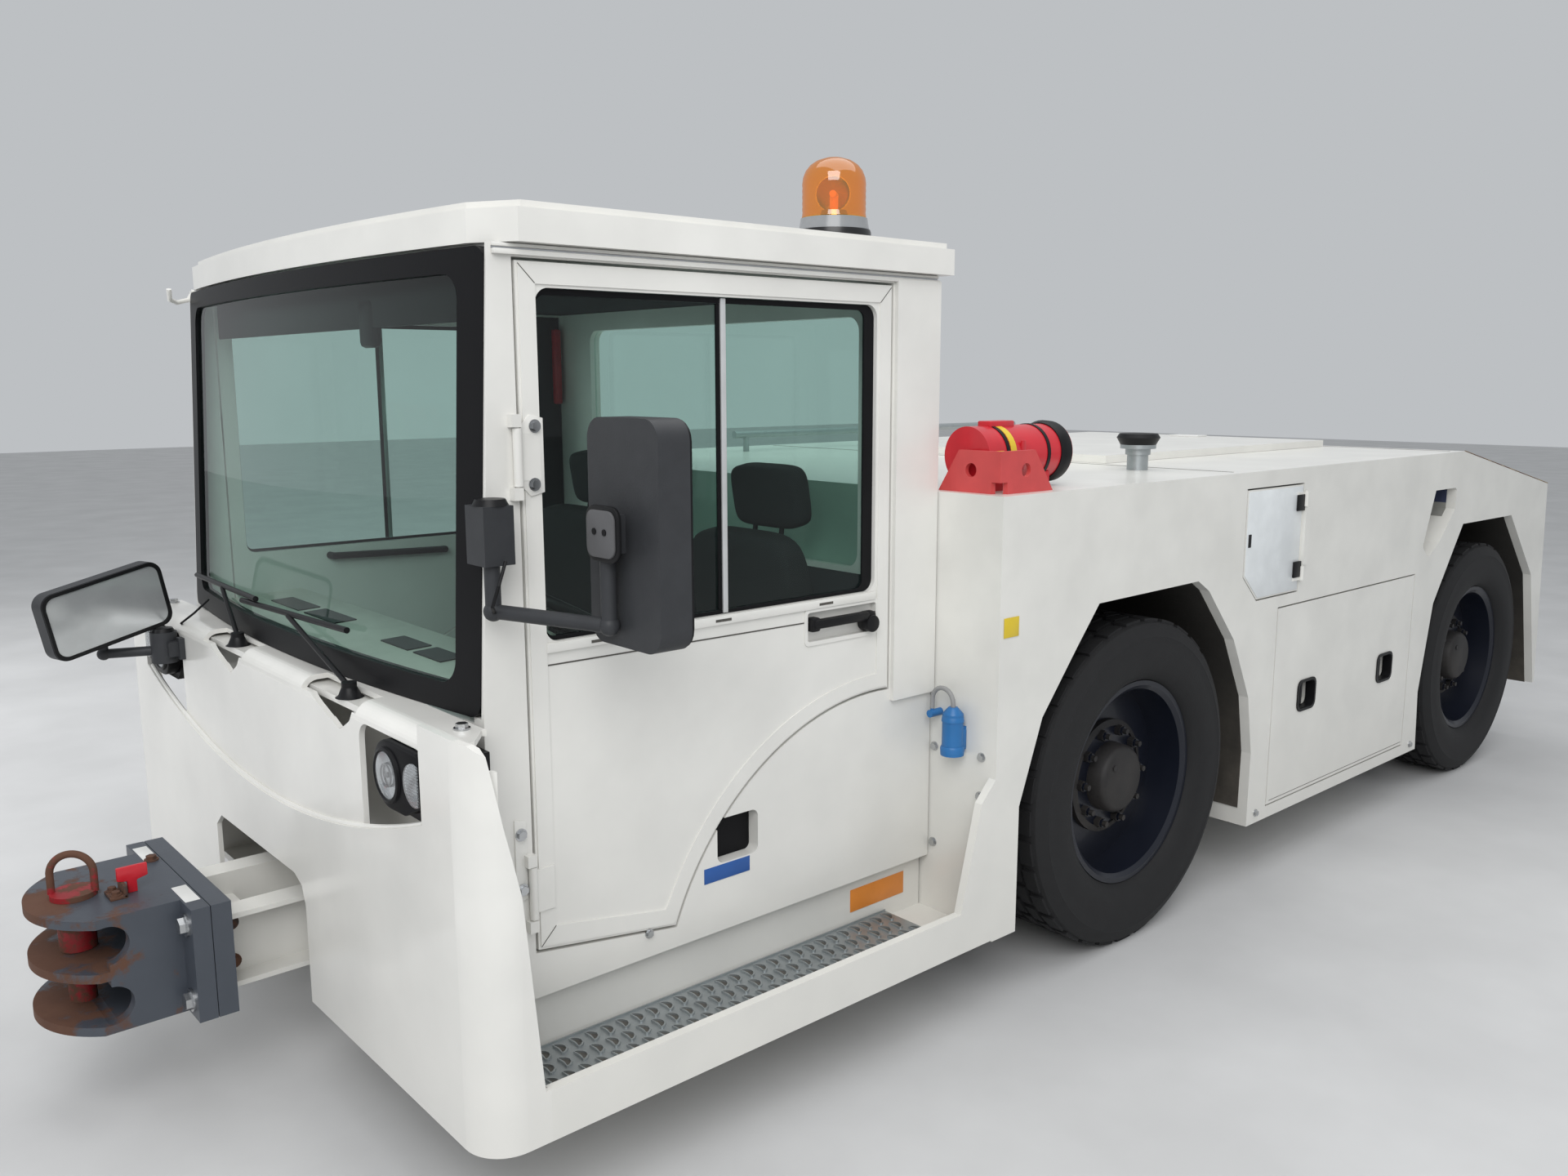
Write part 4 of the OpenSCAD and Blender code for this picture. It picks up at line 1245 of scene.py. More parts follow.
@dataclass
class CabOutside:
    """Gutters, bolts, grab handle, blank plates and small parts of the cab and nose.

    Args:
        gutter: range of X of the gutters, millimetres.
        hinge_z: heights of the lower door hinge's bolts.
        front_edge: middle and radius of the arc along the windscreen's top.
        feet: Y of the wiper feet.
        foot: the wiper foot's outline, metres.
        hose: the washer hose's points.
        grab: the grab handle's points.
    """

    gutter: tuple[float, float] = (676, 1893)
    hinge_z: tuple[float, float] = (626, 741)
    front_edge: tuple[float, float] = (3322.5, 2660.0)
    feet: tuple[float, float] = (450, -252)
    foot: tuple = ((0.0, 0.03), (0.013, 0.03), (0.016, 0.022), (0.024, 0.004), (0.03, 0.0), (0.0, 0.0))
    hose: tuple = ((2046, -640, 952), (2070, -600, 976), (2052, -540, 1010), (2006, -560, 1040))
    grab: tuple = ((1880, -900, 1884), (1896, -902, 1858), (1934, -886, 1848), (1958, -862, 1854),
                   (1962, -850, 1882))

    def build(self) -> None:
        """Makes the pieces."""
        self._gutters()
        self._bolts()
        self._wiper_feet()
        self._grab()
        self._plates()

    def _gutters(self) -> None:
        """Runs the gutters over the doors and a bead along the roof's front."""
        shape = Shape()
        for s in (-1, 1):
            shape.block(self.gutter, (s * 877.3, s * 889), (1858, 1868), 2)
            shape.block(self.gutter, (s * 877.3, s * 883), (1872, 1879), 2)
        height, radius = self.front_edge
        bead = [place(2080, y, height - math.sqrt(radius ** 2 - y * y)) for y in range(-880, 881, 55)]
        shape.pipe(bead, 0.0055, 8)
        put(shape, "gutters", Palette.SHEET, "cream_paint")

    def _bolts(self) -> None:
        """Sets the bolts of cab, hinges and bulkhead, and the gutters' dark joint."""
        shape = Shape()
        for s in (-1, 1):
            out = Vector((0, s, 0))
            shape.block(self.gutter, (s * 877.2, s * 878.2), (1868, 1872))
            shape.bolt(place(2004, s * 900, 985), Vector((0, 0, 1)), 0.012)
            shape.bolt(place(1574, s * DOOR_Y, 438), out, 0.008)
            for z in self.hinge_z:
                shape.bolt(place(1879, s * 881, z), out, 0.0095)
            for y, z in ((893, 685), (893, 423), (1047, 587), (1050, 690)):
                shape.bolt(place(670, s * y, z), Vector((1, 0, 0)), 0.009)
        put(shape, "cab_bolts", Palette.STEEL, "cream_paint")

    def _wiper_feet(self) -> None:
        """Makes the wipers' feet and the washer hose."""
        shape = Shape()
        for y in self.feet:
            shape.lathe(self.foot, place(2034, y, 966), place(2034, y, 1066), steps=20)
        shape.pipe([place(*q) for q in self.hose], 0.003, 8)
        put(shape, "wiper_feet", Palette.BLACK, "black_plastic")

    def _grab(self) -> None:
        """Makes the grab handle at the roof and the lower hinges' plates."""
        shape = Shape()
        shape.pipe([place(*q) for q in self.grab], 0.007)
        plate = ((1867, 604), (1892, 600), (1892, 772), (1867, 766))
        for s in (-1, 1):
            shape.plate([place(x, s * DOOR_Y, z) for x, z in plate], Vector((0, s * 0.004, 0)), 0.001)
        put(shape, "roof_grab", Palette.SHEET, "cream_paint")

    @staticmethod
    def _plates() -> None:
        """Makes the two blank plates by the step and the painted shade on the step pockets' backs."""
        shape = Shape()
        shape.block((735, 931), (847, 848.6), (285, 345), 1)
        put(shape, "orange_plate", Palette.ORANGE, "cream_paint")
        shape = Shape()
        shape.block((1288, 1421), (DOOR_Y, 878.2), (506, 542), 1)
        put(shape, "blue_plate", Palette.PLATE_BLUE, "cream_paint")
        shape = Shape()
        # black sheets on the step pockets' backs: painted shade
        for s in (-1, 1):
            shape.block((1263, 1381), (s * 843.2, s * 845), (546, 649))
        put(shape, "step_pocket_shade", Palette.SEAL, "black_rubber")


@dataclass
class Lamps:
    """Headlamp bowls and lenses, tail lamps and the beacon.

    Args:
        back: X of the housings' backs, millimetres.
        front: X of their fronts.
        main: Y, Z and radius of a main lamp's housing.
        half: Y, Z and radius of the half-round lamp beside it.
        tails: per piece its finish, its depth and its ranges of Y and Z.
        beacon: the beacon's place on the roof.
        dome: upper outline of the beacon's lens, metres.
    """

    back: float = 2054.0
    front: float = 2088.0
    main: tuple[float, float, float] = (750.0, 878.0, 69.0)
    half: tuple[float, float, float] = (868.0, 885.0, 42.0)
    tails: tuple = (
        ("foot", Palette.BLACK, 22, (840, 1050), (820, 930)),
        ("red", Palette.TAIL, 30, (912, 1040), (830, 920)),
        ("amber", Palette.LAMP_AMBER, 30, (850, 906), (830, 920)))
    beacon: tuple[float, float, float] = (935.0, 780.0, 1956.3)
    dome: tuple = ((0.0735, 0.14), (0.0675, 0.155), (0.057, 0.168), (0.042, 0.178), (0.02, 0.185),
                   (0.0, 0.187))

    def build(self) -> None:
        """Makes the pieces."""
        self._heads()
        self._tails()
        self._beacon()

    def _heads(self) -> None:
        """Makes the headlamps' housings, rings, bowls and lenses."""
        housings, rings, bowls, lenses, ribs = Shape(), Shape(), Shape(), Shape(), Shape()
        outline = arc(*self.main, range(90, 271, 10)) + [(816, 811), (888, 846), (888, 942), (876, 947)]
        half = arc(*self.half, range(68, 293, 14))
        depth = Vector(((self.front - self.back) / 1000, 0, 0))
        for s in (-1, 1):
            housings.plate([place(self.back, s * y, z) for y, z in outline], depth, 0.004)
            start = place(self.front, s * self.main[0], self.main[1])
            end = place(self.front + 100, s * self.main[0], self.main[1])
            rings.lathe([(0.047, -0.001), (0.056, -0.001), (0.055, 0.006), (0.05, 0.008),
                         (0.047, 0.006)], start, end, steps=40, closed=True)
            bowls.lathe([(0.0, 0.0012), (0.015, 0.0008), (0.04, 0.0022), (0.047, 0.0045),
                         (0.047, 0.0002), (0.0, 0.0002)], start, end, steps=40)
            lenses.lathe([(0.0465, 0.0052), (0.04, 0.0082), (0.02, 0.0105), (0.0, 0.0112)],
                         start, end, steps=40)
            bowls.plate([place(self.front - 1, s * y, z) for y, z in half], Vector((0.0022, 0, 0)))
            self._ribs(ribs, s)
            lenses.plate([place(self.front + 3, s * y, z) for y, z in half], Vector((0.0015, 0, 0)))
            ribs.lathe([(0.021, 0.003), (0.024, 0.003), (0.024, 0.006), (0.021, 0.006)],
                       start, end, steps=28, closed=True)
            ribs.lathe([(0.0, 0.002), (0.006, 0.002), (0.004, 0.006), (0.0, 0.0065)], start, end,
                       steps=16)
        put(ribs, "lamp_ribs", Palette.GREY, "lamp_plastic")
        put(housings, "lamp_housings", Palette.SEAL, "lamp_plastic")
        put(rings, "lamp_rings", Palette.BLACK, "lamp_plastic")
        put(bowls, "lamp_bowls", Palette.STEEL, "lamp_plastic")
        put(lenses, "lamp_lenses", Palette.LENS, "lamp_plastic")

    def _ribs(self, shape: Shape, s: int, pitch: float = 6.0) -> None:
        """Lays the level ribs under a half-round lens.

        Args:
            shape: shape that takes them.
            s: sign of the side.
            pitch: distance from rib to rib.
        """
        middle, height, radius = self.half
        for k in range(-6, 7):
            z = height + k * pitch
            inner = middle - math.sqrt((radius - 2) ** 2 - (k * pitch) ** 2)
            shape.block((self.front + 1, self.front + 2.2), (s * inner, s * 883), (z - 1.1, z + 1.1))

    @staticmethod
    def tail(y: tuple[float, float], z: tuple[float, float]) -> list[Vector]:
        """Rectangle on the leaning face of the tail.

        Args:
            y: range to the left, millimetres.
            z: range of heights.

        Returns:
            Its corners in order.
        """
        corners = ((y[0], z[0]), (y[1], z[0]), (y[1], z[1]), (y[0], z[1]))
        return [place(-3170 + (b - 268) * 75 / 905, a, b) for a, b in corners]

    def _tails(self) -> None:
        """Makes the tail lamps and the blank plate."""
        for name, finish, depth, (y0, y1), z in self.tails:
            shape = Shape()
            for s in (-1, 1):
                shape.plate(self.tail((s * y0, s * y1), z), Vector((-depth / 1000, 0, 0)), 0.003)
            put(shape, f"tail_{name}", finish, "lamp_plastic")
        shape = Shape()
        shape.plate(self.tail((-260, 260), (700, 810)), Vector((-0.004, 0, 0)), 0.001)
        put(shape, "blank_plate", Palette.WHITE, "cream_paint")

    def _beacon(self) -> None:
        """Makes the beacon's foot, collar, lens, reflector and bulb."""
        x, y, z = self.beacon
        foot, top = place(x, y, z), place(x, y, z + 100)
        shape = Shape()
        shape.lathe([(0.0, 0.0), (0.088, 0.0), (0.088, 0.014), (0.086, 0.02), (0.0, 0.02)], foot, top)
        put(shape, "beacon_foot", Palette.AMBER_FOOT, "amber_plastic", replaces=("beacon",))
        shape = Shape()
        shape.lathe([(0.0, 0.0202), (0.084, 0.0202), (0.081, 0.034), (0.079, 0.047), (0.06, 0.05),
                     (0.0, 0.05)], foot, top)
        put(shape, "beacon_collar", Palette.COLLAR, "amber_plastic")
        shape = Shape()
        ribbed = [(0.0755 - 0.0008 * (i % 2), 0.054 + 0.007 * i) for i in range(12)]
        shape.lathe([(0.0765, 0.049), *ribbed, *self.dome], foot, top, steps=56)
        put(shape, "beacon_lens", Palette.AMBER, "amber_plastic")
        shape = Shape()
        shape.rod(place(x, y, z + 51), place(x, y, z + 66), 0.034, 0.03, sides=28)
        bowl = [(0.006, 0.0), (0.02, 0.006), (0.034, 0.02), (0.04, 0.034), (0.042, 0.034),
                (0.036, 0.018), (0.02, 0.002), (0.006, -0.003)]
        shape.lathe(bowl, place(x - 18, y - 14, z + 102), place(x + 42, y + 30, z + 104), steps=28,
                    closed=True)
        put(shape, "beacon_reflector", Palette.STEEL, "amber_plastic")
        shape = Shape()
        shape.rod(place(x - 16, y - 12, z + 102), place(x + 14, y + 10, z + 103), 0.008, sides=14)
        shape.block((x - 8, x + 8), (y - 8, y + 8), (z + 60, z + 100), 3)
        put(shape, "beacon_bulb", Palette.LAMP_AMBER, "amber_plastic")


@dataclass
class Mirrors:
    """Glasses, adapter blocks and caps of the two mirrors. Sizes are millimetres.

    Args:
        left: X, Y and Z of the left glass's middle.
        right: X, Y and Z of the right glass's middle.
        turn: how far the right mirror is turned, degrees.
        tilt: how far it leans, degrees.
        adapter: Y and Z of the left mirror's adapter block.
        cable: points of the left mirror's cable.
    """

    left: tuple[float, float, float] = (1735.0, 1152.0, 1358.0)
    right: tuple[float, float, float] = (2245.0, -594.0, 1034.0)
    turn: float = 16.0
    tilt: float = -11.0
    adapter: tuple[float, float] = (1146.0, 1362.0)
    cable: tuple = ((1930, 955, 1300), (1962, 985, 1262), (1968, 970, 1222), (1950, 942, 1206))

    def build(self) -> None:
        """Makes the pieces."""
        turn = math.radians(self.turn)
        out = Vector((-math.sin(turn), math.cos(turn), 0))
        shape = Shape()
        shape.plate(self._left(192, 380, 30), Vector((-0.002, 0, 0)))
        shape.plate(self._right(304, 158, 26), out * 0.002)
        put(shape, "mirror_glasses", Palette.MIRROR, "black_plastic")
        shape = Shape()
        shape.ring(self._right(324, 178, 33), self._right(306, 160, 27), out * 0.005)
        shape.ring(self._left(216, 408, 39), self._left(194, 382, 31), Vector((-0.006, 0, 0)))
        shape.rod(place(1936, 917, 1402), place(1936, 917, 1414), 0.034, 0.028, sides=28)
        shape.rod(place(2112, -620, 956), place(2112, -620, 966), 0.03, 0.024, sides=28)
        y, z = self.adapter
        for d in (-16, 16):
            shape.rod(place(1848, y + d, z + 4), place(1851, y + d, z + 4), 0.006, sides=12)
        shape.plate([place(1836, y + a, z + b) for a, b in rounded(102, 100, 24)],
                    Vector((0.008, 0, 0)), 0.002)
        shape.pipe([place(*q) for q in self.cable], 0.0035, 8)
        put(shape, "mirror_rims", Palette.BLACK, "black_plastic")
        shape = Shape()
        shape.plate([place(1843, y + a, z + b) for a, b in rounded(86, 84, 19)],
                    Vector((0.006, 0, 0)), 0.002)
        put(shape, "mirror_adapter", Palette.GREY, "black_plastic")

    def _left(self, width: float, height: float, radius: float) -> list[Vector]:
        """Rounded rectangle on the left glass.

        Args:
            width: full width.
            height: full height.
            radius: corner radius.

        Returns:
            Points in order.
        """
        x, y, z = self.left
        return [place(x, y + a, z + b) for a, b in rounded(width, height, radius)]

    def _right(self, width: float, height: float, radius: float) -> list[Vector]:
        """Rounded rectangle on the right glass, turned and tilted as it is.

        Args:
            width: full width.
            height: full height.
            radius: corner radius.

        Returns:
            Points in order.
        """
        turn, tilt = math.radians(self.turn), math.radians(self.tilt)
        along = Vector((math.cos(turn), math.sin(turn), 0))
        up = Vector((0, 0, 1))
        first = along * math.cos(tilt) + up * math.sin(tilt)
        second = up * math.cos(tilt) - along * math.sin(tilt)
        middle = place(*self.right)
        return [middle + first * (a / 1000) + second * (b / 1000)
                for a, b in rounded(width, height, radius, 6)]


@dataclass
class Coupling:
    """Latch, blank labels and bolts of the front coupling. Sizes are millimetres.

    Args:
        latch: the latch's outline in X and Z.
        plate_bolts: Y and Z of the bolts on the coupling's plate.
        labels: ranges of Y of the blank labels.
    """

    latch: tuple = ((2386, 507), (2406, 507), (2406, 534), (2426, 538), (2426, 568), (2363, 568),
                    (2363, 540), (2386, 534))
    plate_bolts: tuple = ((-218, 288), (-218, 462), (218, 288), (218, 462))
    labels: tuple = ((-215, -110), (100, 205))

    def build(self) -> None:
        """Makes the pieces."""
        up = Vector((0, 0, 1))
        shape = Shape()
        shape.plate([place(x, 56, z) for x, z in self.latch], Vector((0, 0.01, 0)), 0.002)
        put(shape, "jaw_latch", Palette.RED, "red_paint")
        shape = Shape()
        shape.block((2412, 2448), (36, 92), (506.5, 515), 2)
        shape.block((2412, 2420), (36, 92), (508, 536), 2)
        for y in (48, 80):
            shape.bolt(place(2434, y, 515), up, 0.009)
        shape.bolt(place(2312, -110, 507), up, 0.012)
        for s in (-1, 1):
            for z in (300, 394):
                shape.bolt(place(2210, s * 110, z), Vector((0, s, 0)), 0.013)
        put(shape, "jaw_bolts", Palette.RUST, "jaw_paint")
        shape = Shape()
        for y, z in self.plate_bolts:
            shape.bolt(place(2331, y, z), Vector((1, 0, 0)), 0.019)
        put(shape, "plate_bolts", Palette.STEEL, "jaw_paint")
        shape = Shape()
        for span in self.labels:
            shape.block((2296, 2327), span, (507, 508), 0.3)
        put(shape, "blank_labels", Palette.WHITE, "jaw_paint")


@dataclass
class Steps:
    """The two step trays with rows of pressed, crescent-shaped slots, their openings painted dark as
    shade. Sizes are millimetres.

    Args:
        length: range of X of a tray.
        inner: distance of its inner edge from the centre line.
        outer: distance of its outer edge.
        rows: rows of slots.
        count: slots in a row.
        pitch: distance from slot to slot.
        row_pitch: distance from row to row.
        top: height of the slots' faces.
    """

    length: tuple[float, float] = (810, 1940)
    inner: float = 853.0
    outer: float = 1071.0
    rows: int = 4
    count: int = 28
    pitch: float = 39.0
    row_pitch: float = 50.0
    top: float = 257.1

    def build(self) -> None:
        """Makes the trays, the painted shade in their slots and the lips of the slots."""
        tray, slots, lips = Shape(), Shape(), Shape()
        for s in (-1, 1):
            tray.block(self.length, (s * self.inner, s * self.outer), (236, 257))
            for y in (self.inner, self.outer - 3):
                tray.block(self.length, (s * y, s * (y + 3)), (250, 261))
            for row in range(self.rows):
                start = self.length[0] + 20 + (self.pitch / 2 if row % 2 else 0)
                y = s * (self.inner + 34 + row * self.row_pitch)
                for i in range(self.count):
                    hole = self._outline(start + i * self.pitch, y, 7, 18)
                    # a dark plate in each slot: painted shade in the opening
                    slots.plate(hole, Vector((0, 0, 0.0008)))
                    rim = self._outline(start + i * self.pitch, y, 10.5, 22)
                    lips.ring(rim, hole, Vector((0, 0, 0.005)))
        put(tray, "step_trays", Palette.ZINC, "galvanised", replaces=("step_gratings",))
        put(slots, "step_slot_shade", Palette.SEAM, "galvanised")
        put(lips, "step_lips", Palette.ZINC, "galvanised")

    def _outline(self, x: float, y: float, wide: float, long: float, lean: float = 9.0) -> list[Vector]:
        """Outline of one slot.

        Args:
            x: its middle ahead of the front axle line.
            y: its middle, to the left.
            wide: half its width.
            long: half its length.
            lean: how far its ends lean.

        Returns:
            Points in order.
        """
        points = []
        for i in range(12):
            angle = math.tau * i / 12
            b = long * math.sin(angle)
            points.append(place(x + wide * math.cos(angle) + lean * (b / long) ** 2, y + b, self.top))
        return points


@dataclass
class Deck:
    """Fire extinguisher's parts, pipe cap, seams and small parts on the deck.

    Args:
        bottle: Y and Z of the extinguisher's axis, millimetres.
        cap: outline of its end cap, metres.
        straps: X of its straps, their width and their outer radius.
        pipe: X and Y of the capped pipe.
        seams: X of the seams across the deck.
        slope: X and Z of both ends of the slope's worn edge.
    """

    bottle: tuple[float, float] = (930.0, 1438.0)
    cap: tuple = ((0.0, 0.0), (0.052, 0.0), (0.081, 0.004), (0.083, 0.03), (0.077, 0.044), (0.0, 0.044))
    straps: tuple = ((532, 0.012, 0.0762), (366, 0.012, 0.0762))
    pipe: tuple[float, float] = (-353.0, 800.0)
    seams: tuple[float, float] = (-468.0, -2090.0)
    slope: tuple = ((-2140, 1350.5), (-3095, 1173.5))

    def build(self) -> None:
        """Makes the pieces."""
        self._extinguisher()
        self._edges()
        self._blocks()

    def _along(self, x: float) -> Vector:
        """Point on the extinguisher's axis.

        Args:
            x: millimetres ahead of the front axle line.

        Returns:
            The point.
        """
        return place(x, *self.bottle)

    def _strap(self, shape: Shape, x: float, width: float, outer: float, inner: float = 0.0745) -> None:
        """Lays a strap round the extinguisher.

        Args:
            shape: shape that takes it.
            x: where it starts, millimetres.
            width: its width, metres.
            outer: its outer radius.
            inner: its inner radius.
        """
        profile = [(inner, 0.0), (outer, 0.0), (outer, width), (inner, width)]
        shape.lathe(profile, self._along(x), self._along(x + 100), steps=40, closed=True)

    def _extinguisher(self) -> None:
        """Makes the extinguisher's cap, straps and clip, and the pipe's cap."""
        shape = Shape()
        shape.lathe(self.cap, self._along(276), self._along(376), steps=40)
        shape.rod(self._along(276), self._along(262), 0.03, 0.024, sides=20)
        for x, width, outer in self.straps:
            self._strap(shape, x, width, outer)
        put(shape, "extinguisher_cap", Palette.BLACK, "red_paint")
        shape = Shape()
        self._strap(shape, 506, 0.022, 0.0758)
        shape.block((556, 590), (996, 1004.6), (1424, 1452), 1)
        put(shape, "extinguisher_strap", Palette.YELLOW, "red_paint")
        shape = Shape()
        shape.lathe([(0.0, 0.078), (0.054, 0.078), (0.066, 0.1), (0.058, 0.112), (0.0, 0.104)],
                    place(*self.pipe, DECK_Z), place(*self.pipe, DECK_Z + 100), steps=28)
        put(shape, "pipe_cap", Palette.BLACK, "galvanised")
        shape = Shape()
        shape.block((452, 548), (908, 952), (1500, 1524), 4)
        shape.block((470, 486), (1000, 1005), (1400, 1476), 2)
        put(shape, "extinguisher_clip", Palette.RED, "red_paint")

    def _edges(self) -> None:
        """Draws the deck's seams and the slope's worn edges."""
        shape = Shape()
        for x in self.seams:
            shape.line(place(x, -1060, DECK_Z), place(x, 1060, DECK_Z), Vector((0, 0, 1)), 0.003)
        put(shape, "deck_seams", Palette.SEAM, "cream_paint")
        shape = Shape()
        for s in (-1, 1):
            start, end = (place(x, s * 1096, z) for x, z in self.slope)
            shape.rod(start, end, 0.0022, sides=8)
        put(shape, "worn_edges", Palette.WORN, "cream_paint")

    @staticmethod
    def _blocks() -> None:
        """Makes the white blocks and the rod on the deck, and the side reflector."""
        shape = Shape()
        shape.block((-2490, -2400), (985, 1040), (1286, 1306), 3)
        shape.rod(place(-2440, 1020, 1309), place(-2990, 1020, 1207), 0.009)
        for x in (-1980, -600):
            shape.block((x - 40, x + 40), (-70, 70), (1376, 1383), 3)
        put(shape, "deck_blocks", Palette.WHITE, "cream_paint")
        shape = Shape()
        shape.block((598, 656), (1098, 1099), (1000, 1050), 0.3)
        put(shape, "reflector", Palette.YELLOW, "cream_paint")


@dataclass
class SidePanels:
    """Pieces on the two body sides: hatch, grips, and the painted shade in the pockets and wheel bays.
    Sizes are millimetres.

    Args:
        front_arch: the front arch's outline, its X from the axle.
        rear_arch: the rear arch's outline, likewise.
        arch_z: height of the point that both are drawn in towards.
        hatch: the filler hatch's outline.
        grips: X of the panels' grips.
        grip_z: their height.
        pocket_x: X that the side pocket is drawn about.
        pocket_z: height that its back is shrunk about.
        pocket: the side pocket's outline, its X from pocket_x.
        walls: finish and outline of the painted shade on the pocket's rear wall.
    """

    front_arch: tuple = ((574, 400), (574, 550), (488, 770), (352, 930), (255, 1040), (-238, 1046),
                         (-300, 1010), (-460, 840), (-570, 640), (-608, 450), (-605, 262))
    rear_arch: tuple = ((570, 262), (582, 437), (506, 775), (278, 1064), (-233, 1061), (-537, 777),
                        (-692, 262))
    arch_z: float = 480.0
    hatch: tuple = ((-500, 1290), (-839, 1290), (-839, 956), (-584, 956), (-500, 1033))
    grips: tuple[float, float] = (-956.0, -1552.0)
    grip_z: float = 586.0
    pocket_x: float = -1961.0
    pocket_z: float = 1090.0
    pocket: tuple = ((67, 1212), (-119, 1212), (-129, 1202), (-129, 1130), (0, 1010), (78, 966),
                     (100, 966), (142, 1000), (144, 1014))
    walls: tuple = (
        ("wall", Palette.POCKET, ((-2089, 1203), (-2086, 1203), (-2086, 1152), (-2089, 1152))),
        ("foot", Palette.POCKET_GREY, ((-2089, 1152), (-2086, 1152), (-2086, 1131), (-2056, 1103),
                                       (-2058, 1101), (-2089, 1130))))

    def build(self) -> None:
        """Makes the pieces."""
        self._hatch()
        for side in Side:
            self._grips(side)
            self._pocket(side)
        for side in Side:
            self._arches(side)

    def _hatch(self) -> None:
        """Dresses the filler hatch."""
        shape = Shape()
        shape.plate([place(x, SIDE_Y, z) for x, z in self.hatch], Vector((0, 0.002, 0)), 0.0008)
        put(shape, "hatch_skin", Palette.HATCH, "cream_paint", "hatch")
        shape = Shape()
        for z in (1016, 1232):
            shape.block((-846, -800), (1099, 1106), (z - 20, z + 32), 2)
        shape.block((-524, -508), (1099, 1101), (1120, 1160), 2)
        put(shape, "hatch_hinges", Palette.BLACK, "black_plastic", "hatch")

    def _grip_ring(self, side: Side, x: float, y: float, outer: Outline, inner: Outline,
                   deep: float) -> tuple[list[Vector], list[Vector], Vector]:
        """Places the two outlines of a ring at a grip.

        Args:
            side: the side.
            x: the grip's X.
            y: distance of the ring's back from the centre line.
            outer: its outer outline.
            inner: its inner outline.
            deep: its depth, metres.

        Returns:
            Both outlines and the push outwards.
        """
        s = side.value
        loops = ([place(x + a, s * y, self.grip_z + b) for a, b in outline]
                 for outline in (outer, inner))
        return (*loops, Vector((0, s * deep, 0)))

    def _grips(self, side: Side) -> None:
        """Lines a panel's grips, and sets its seam and the skirt's bolts.

        Args:
            side: the side.
        """
        s = side.value
        body = f"{side.word}_panel"
        shape = Shape()
        for x in self.grips:
            shape.ring(*self._grip_ring(side, x, 1097.2, rounded(126, 108, 26), rounded(108, 90, 21),
                                        0.004))
            shape.ring(*self._grip_ring(side, x, 1070, rounded(109.5, 91.5, 21.8), rounded(104, 86, 20),
                                        0.027))
            shape.block((x + 12, x + 26), (s * 1062, s * 1090), (552, 620), 4)
        put(shape, f"panel_grips_{side.word}", Palette.BLACK, "black_plastic", body)
        out = Vector((0, s, 0))
        shape = Shape()
        shape.line(place(-745, s * SIDE_Y, 262), place(-1752, s * SIDE_Y, 262), out, 0.0012)
        put(shape, f"panel_seam_{side.word}", Palette.SEAM, "cream_paint", body)
        shape = Shape()
        for x, z in ((-660, 240), (-1840, 236)):
            shape.bolt(place(x, s * SIDE_Y, z), out, 0.009)
        put(shape, f"skirt_bolts_{side.word}", Palette.STEEL, "cream_paint")

    def _pocket(self, side: Side) -> None:
        """Paints shade inside a side pocket: dark deep in, lighter low down.

        Args:
            side: the side.
        """
        s = side.value
        # painted shade: the rear wall's top dark and its foot grey; the back dark above the cut and a
        # shaded cream with rust spots below it
        for name, finish, wall in self.walls:
            shape = Shape()
            shape.plate([place(x, s * 988, z) for x, z in wall], Vector((0, s * 0.074, 0)))
            put(shape, f"pocket_{name}_{side.word}", finish, "cream_paint")
        for name, finish, upper in (("deep", Palette.POCKET, True), ("low", Palette.HINGE, False)):
            shape = Shape()
            back = [place(self.pocket_x + x * 0.98, s * 987.4,
                          self.pocket_z + (z - self.pocket_z) * 0.98) for x, z in self.pocket]
            shape.plate(back, Vector((0, s * 0.001, 0)))
            everything = shape.bm.verts[:] + shape.bm.edges[:] + shape.bm.faces[:]
            made = bmesh.ops.bisect_plane(
                shape.bm, geom=everything, dist=1e-6, plane_co=place(self.pocket_x, 0, 1095),
                plane_no=Vector((0.3, 0, 1)), clear_inner=upper, clear_outer=not upper)
            cut = [g for g in made["geom_cut"] if isinstance(g, bmesh.types.BMEdge)]
            bmesh.ops.contextual_create(shape.bm, geom=cut)
            put(shape, f"pocket_{name}_{side.word}", finish, "cream_paint")

    def _arches(self, side: Side) -> None:
        """Lines the wheel bays with dark sheets: painted shade, with dust low down.

        Args:
            side: the side.
        """
        s = side.value
        shape = Shape()
        for arch, x0 in ((self.front_arch, 0), (self.rear_arch, -WHEELBASE)):
            outer, inner = (self._drawn_in(arch, x0, s, inset) for inset in (0.6, 3.5))
            # dark sheets along the arch and on the bay's inner wall, as painted shade
            shape.plate(outer + inner[::-1], Vector((0, s * 0.543, 0)))
            shape.plate([q - Vector((0, s * 0.0015, 0)) for q in inner], Vector((0, s * 0.003, 0)))
        put(shape, f"bay_lining_{side.word}", Palette.UNDER, "cream_paint")

    def _drawn_in(self, arch: Outline, x0: float, s: int, inset: float) -> list[Vector]:
        """Draws an arch's outline in towards its axle.

        Args:
            arch: the outline from its axle.
            x0: the axle's X.
            s: sign of the side.
            inset: how far it is drawn in.

        Returns:
            The points, at the bay's inner wall.
        """
        points = []
        for x, z in arch:
            keep = 1 - inset / math.hypot(x, z - self.arch_z)
            points.append(place(x0 + x * keep, s * 522, self.arch_z + (z - self.arch_z) * keep))
        return points


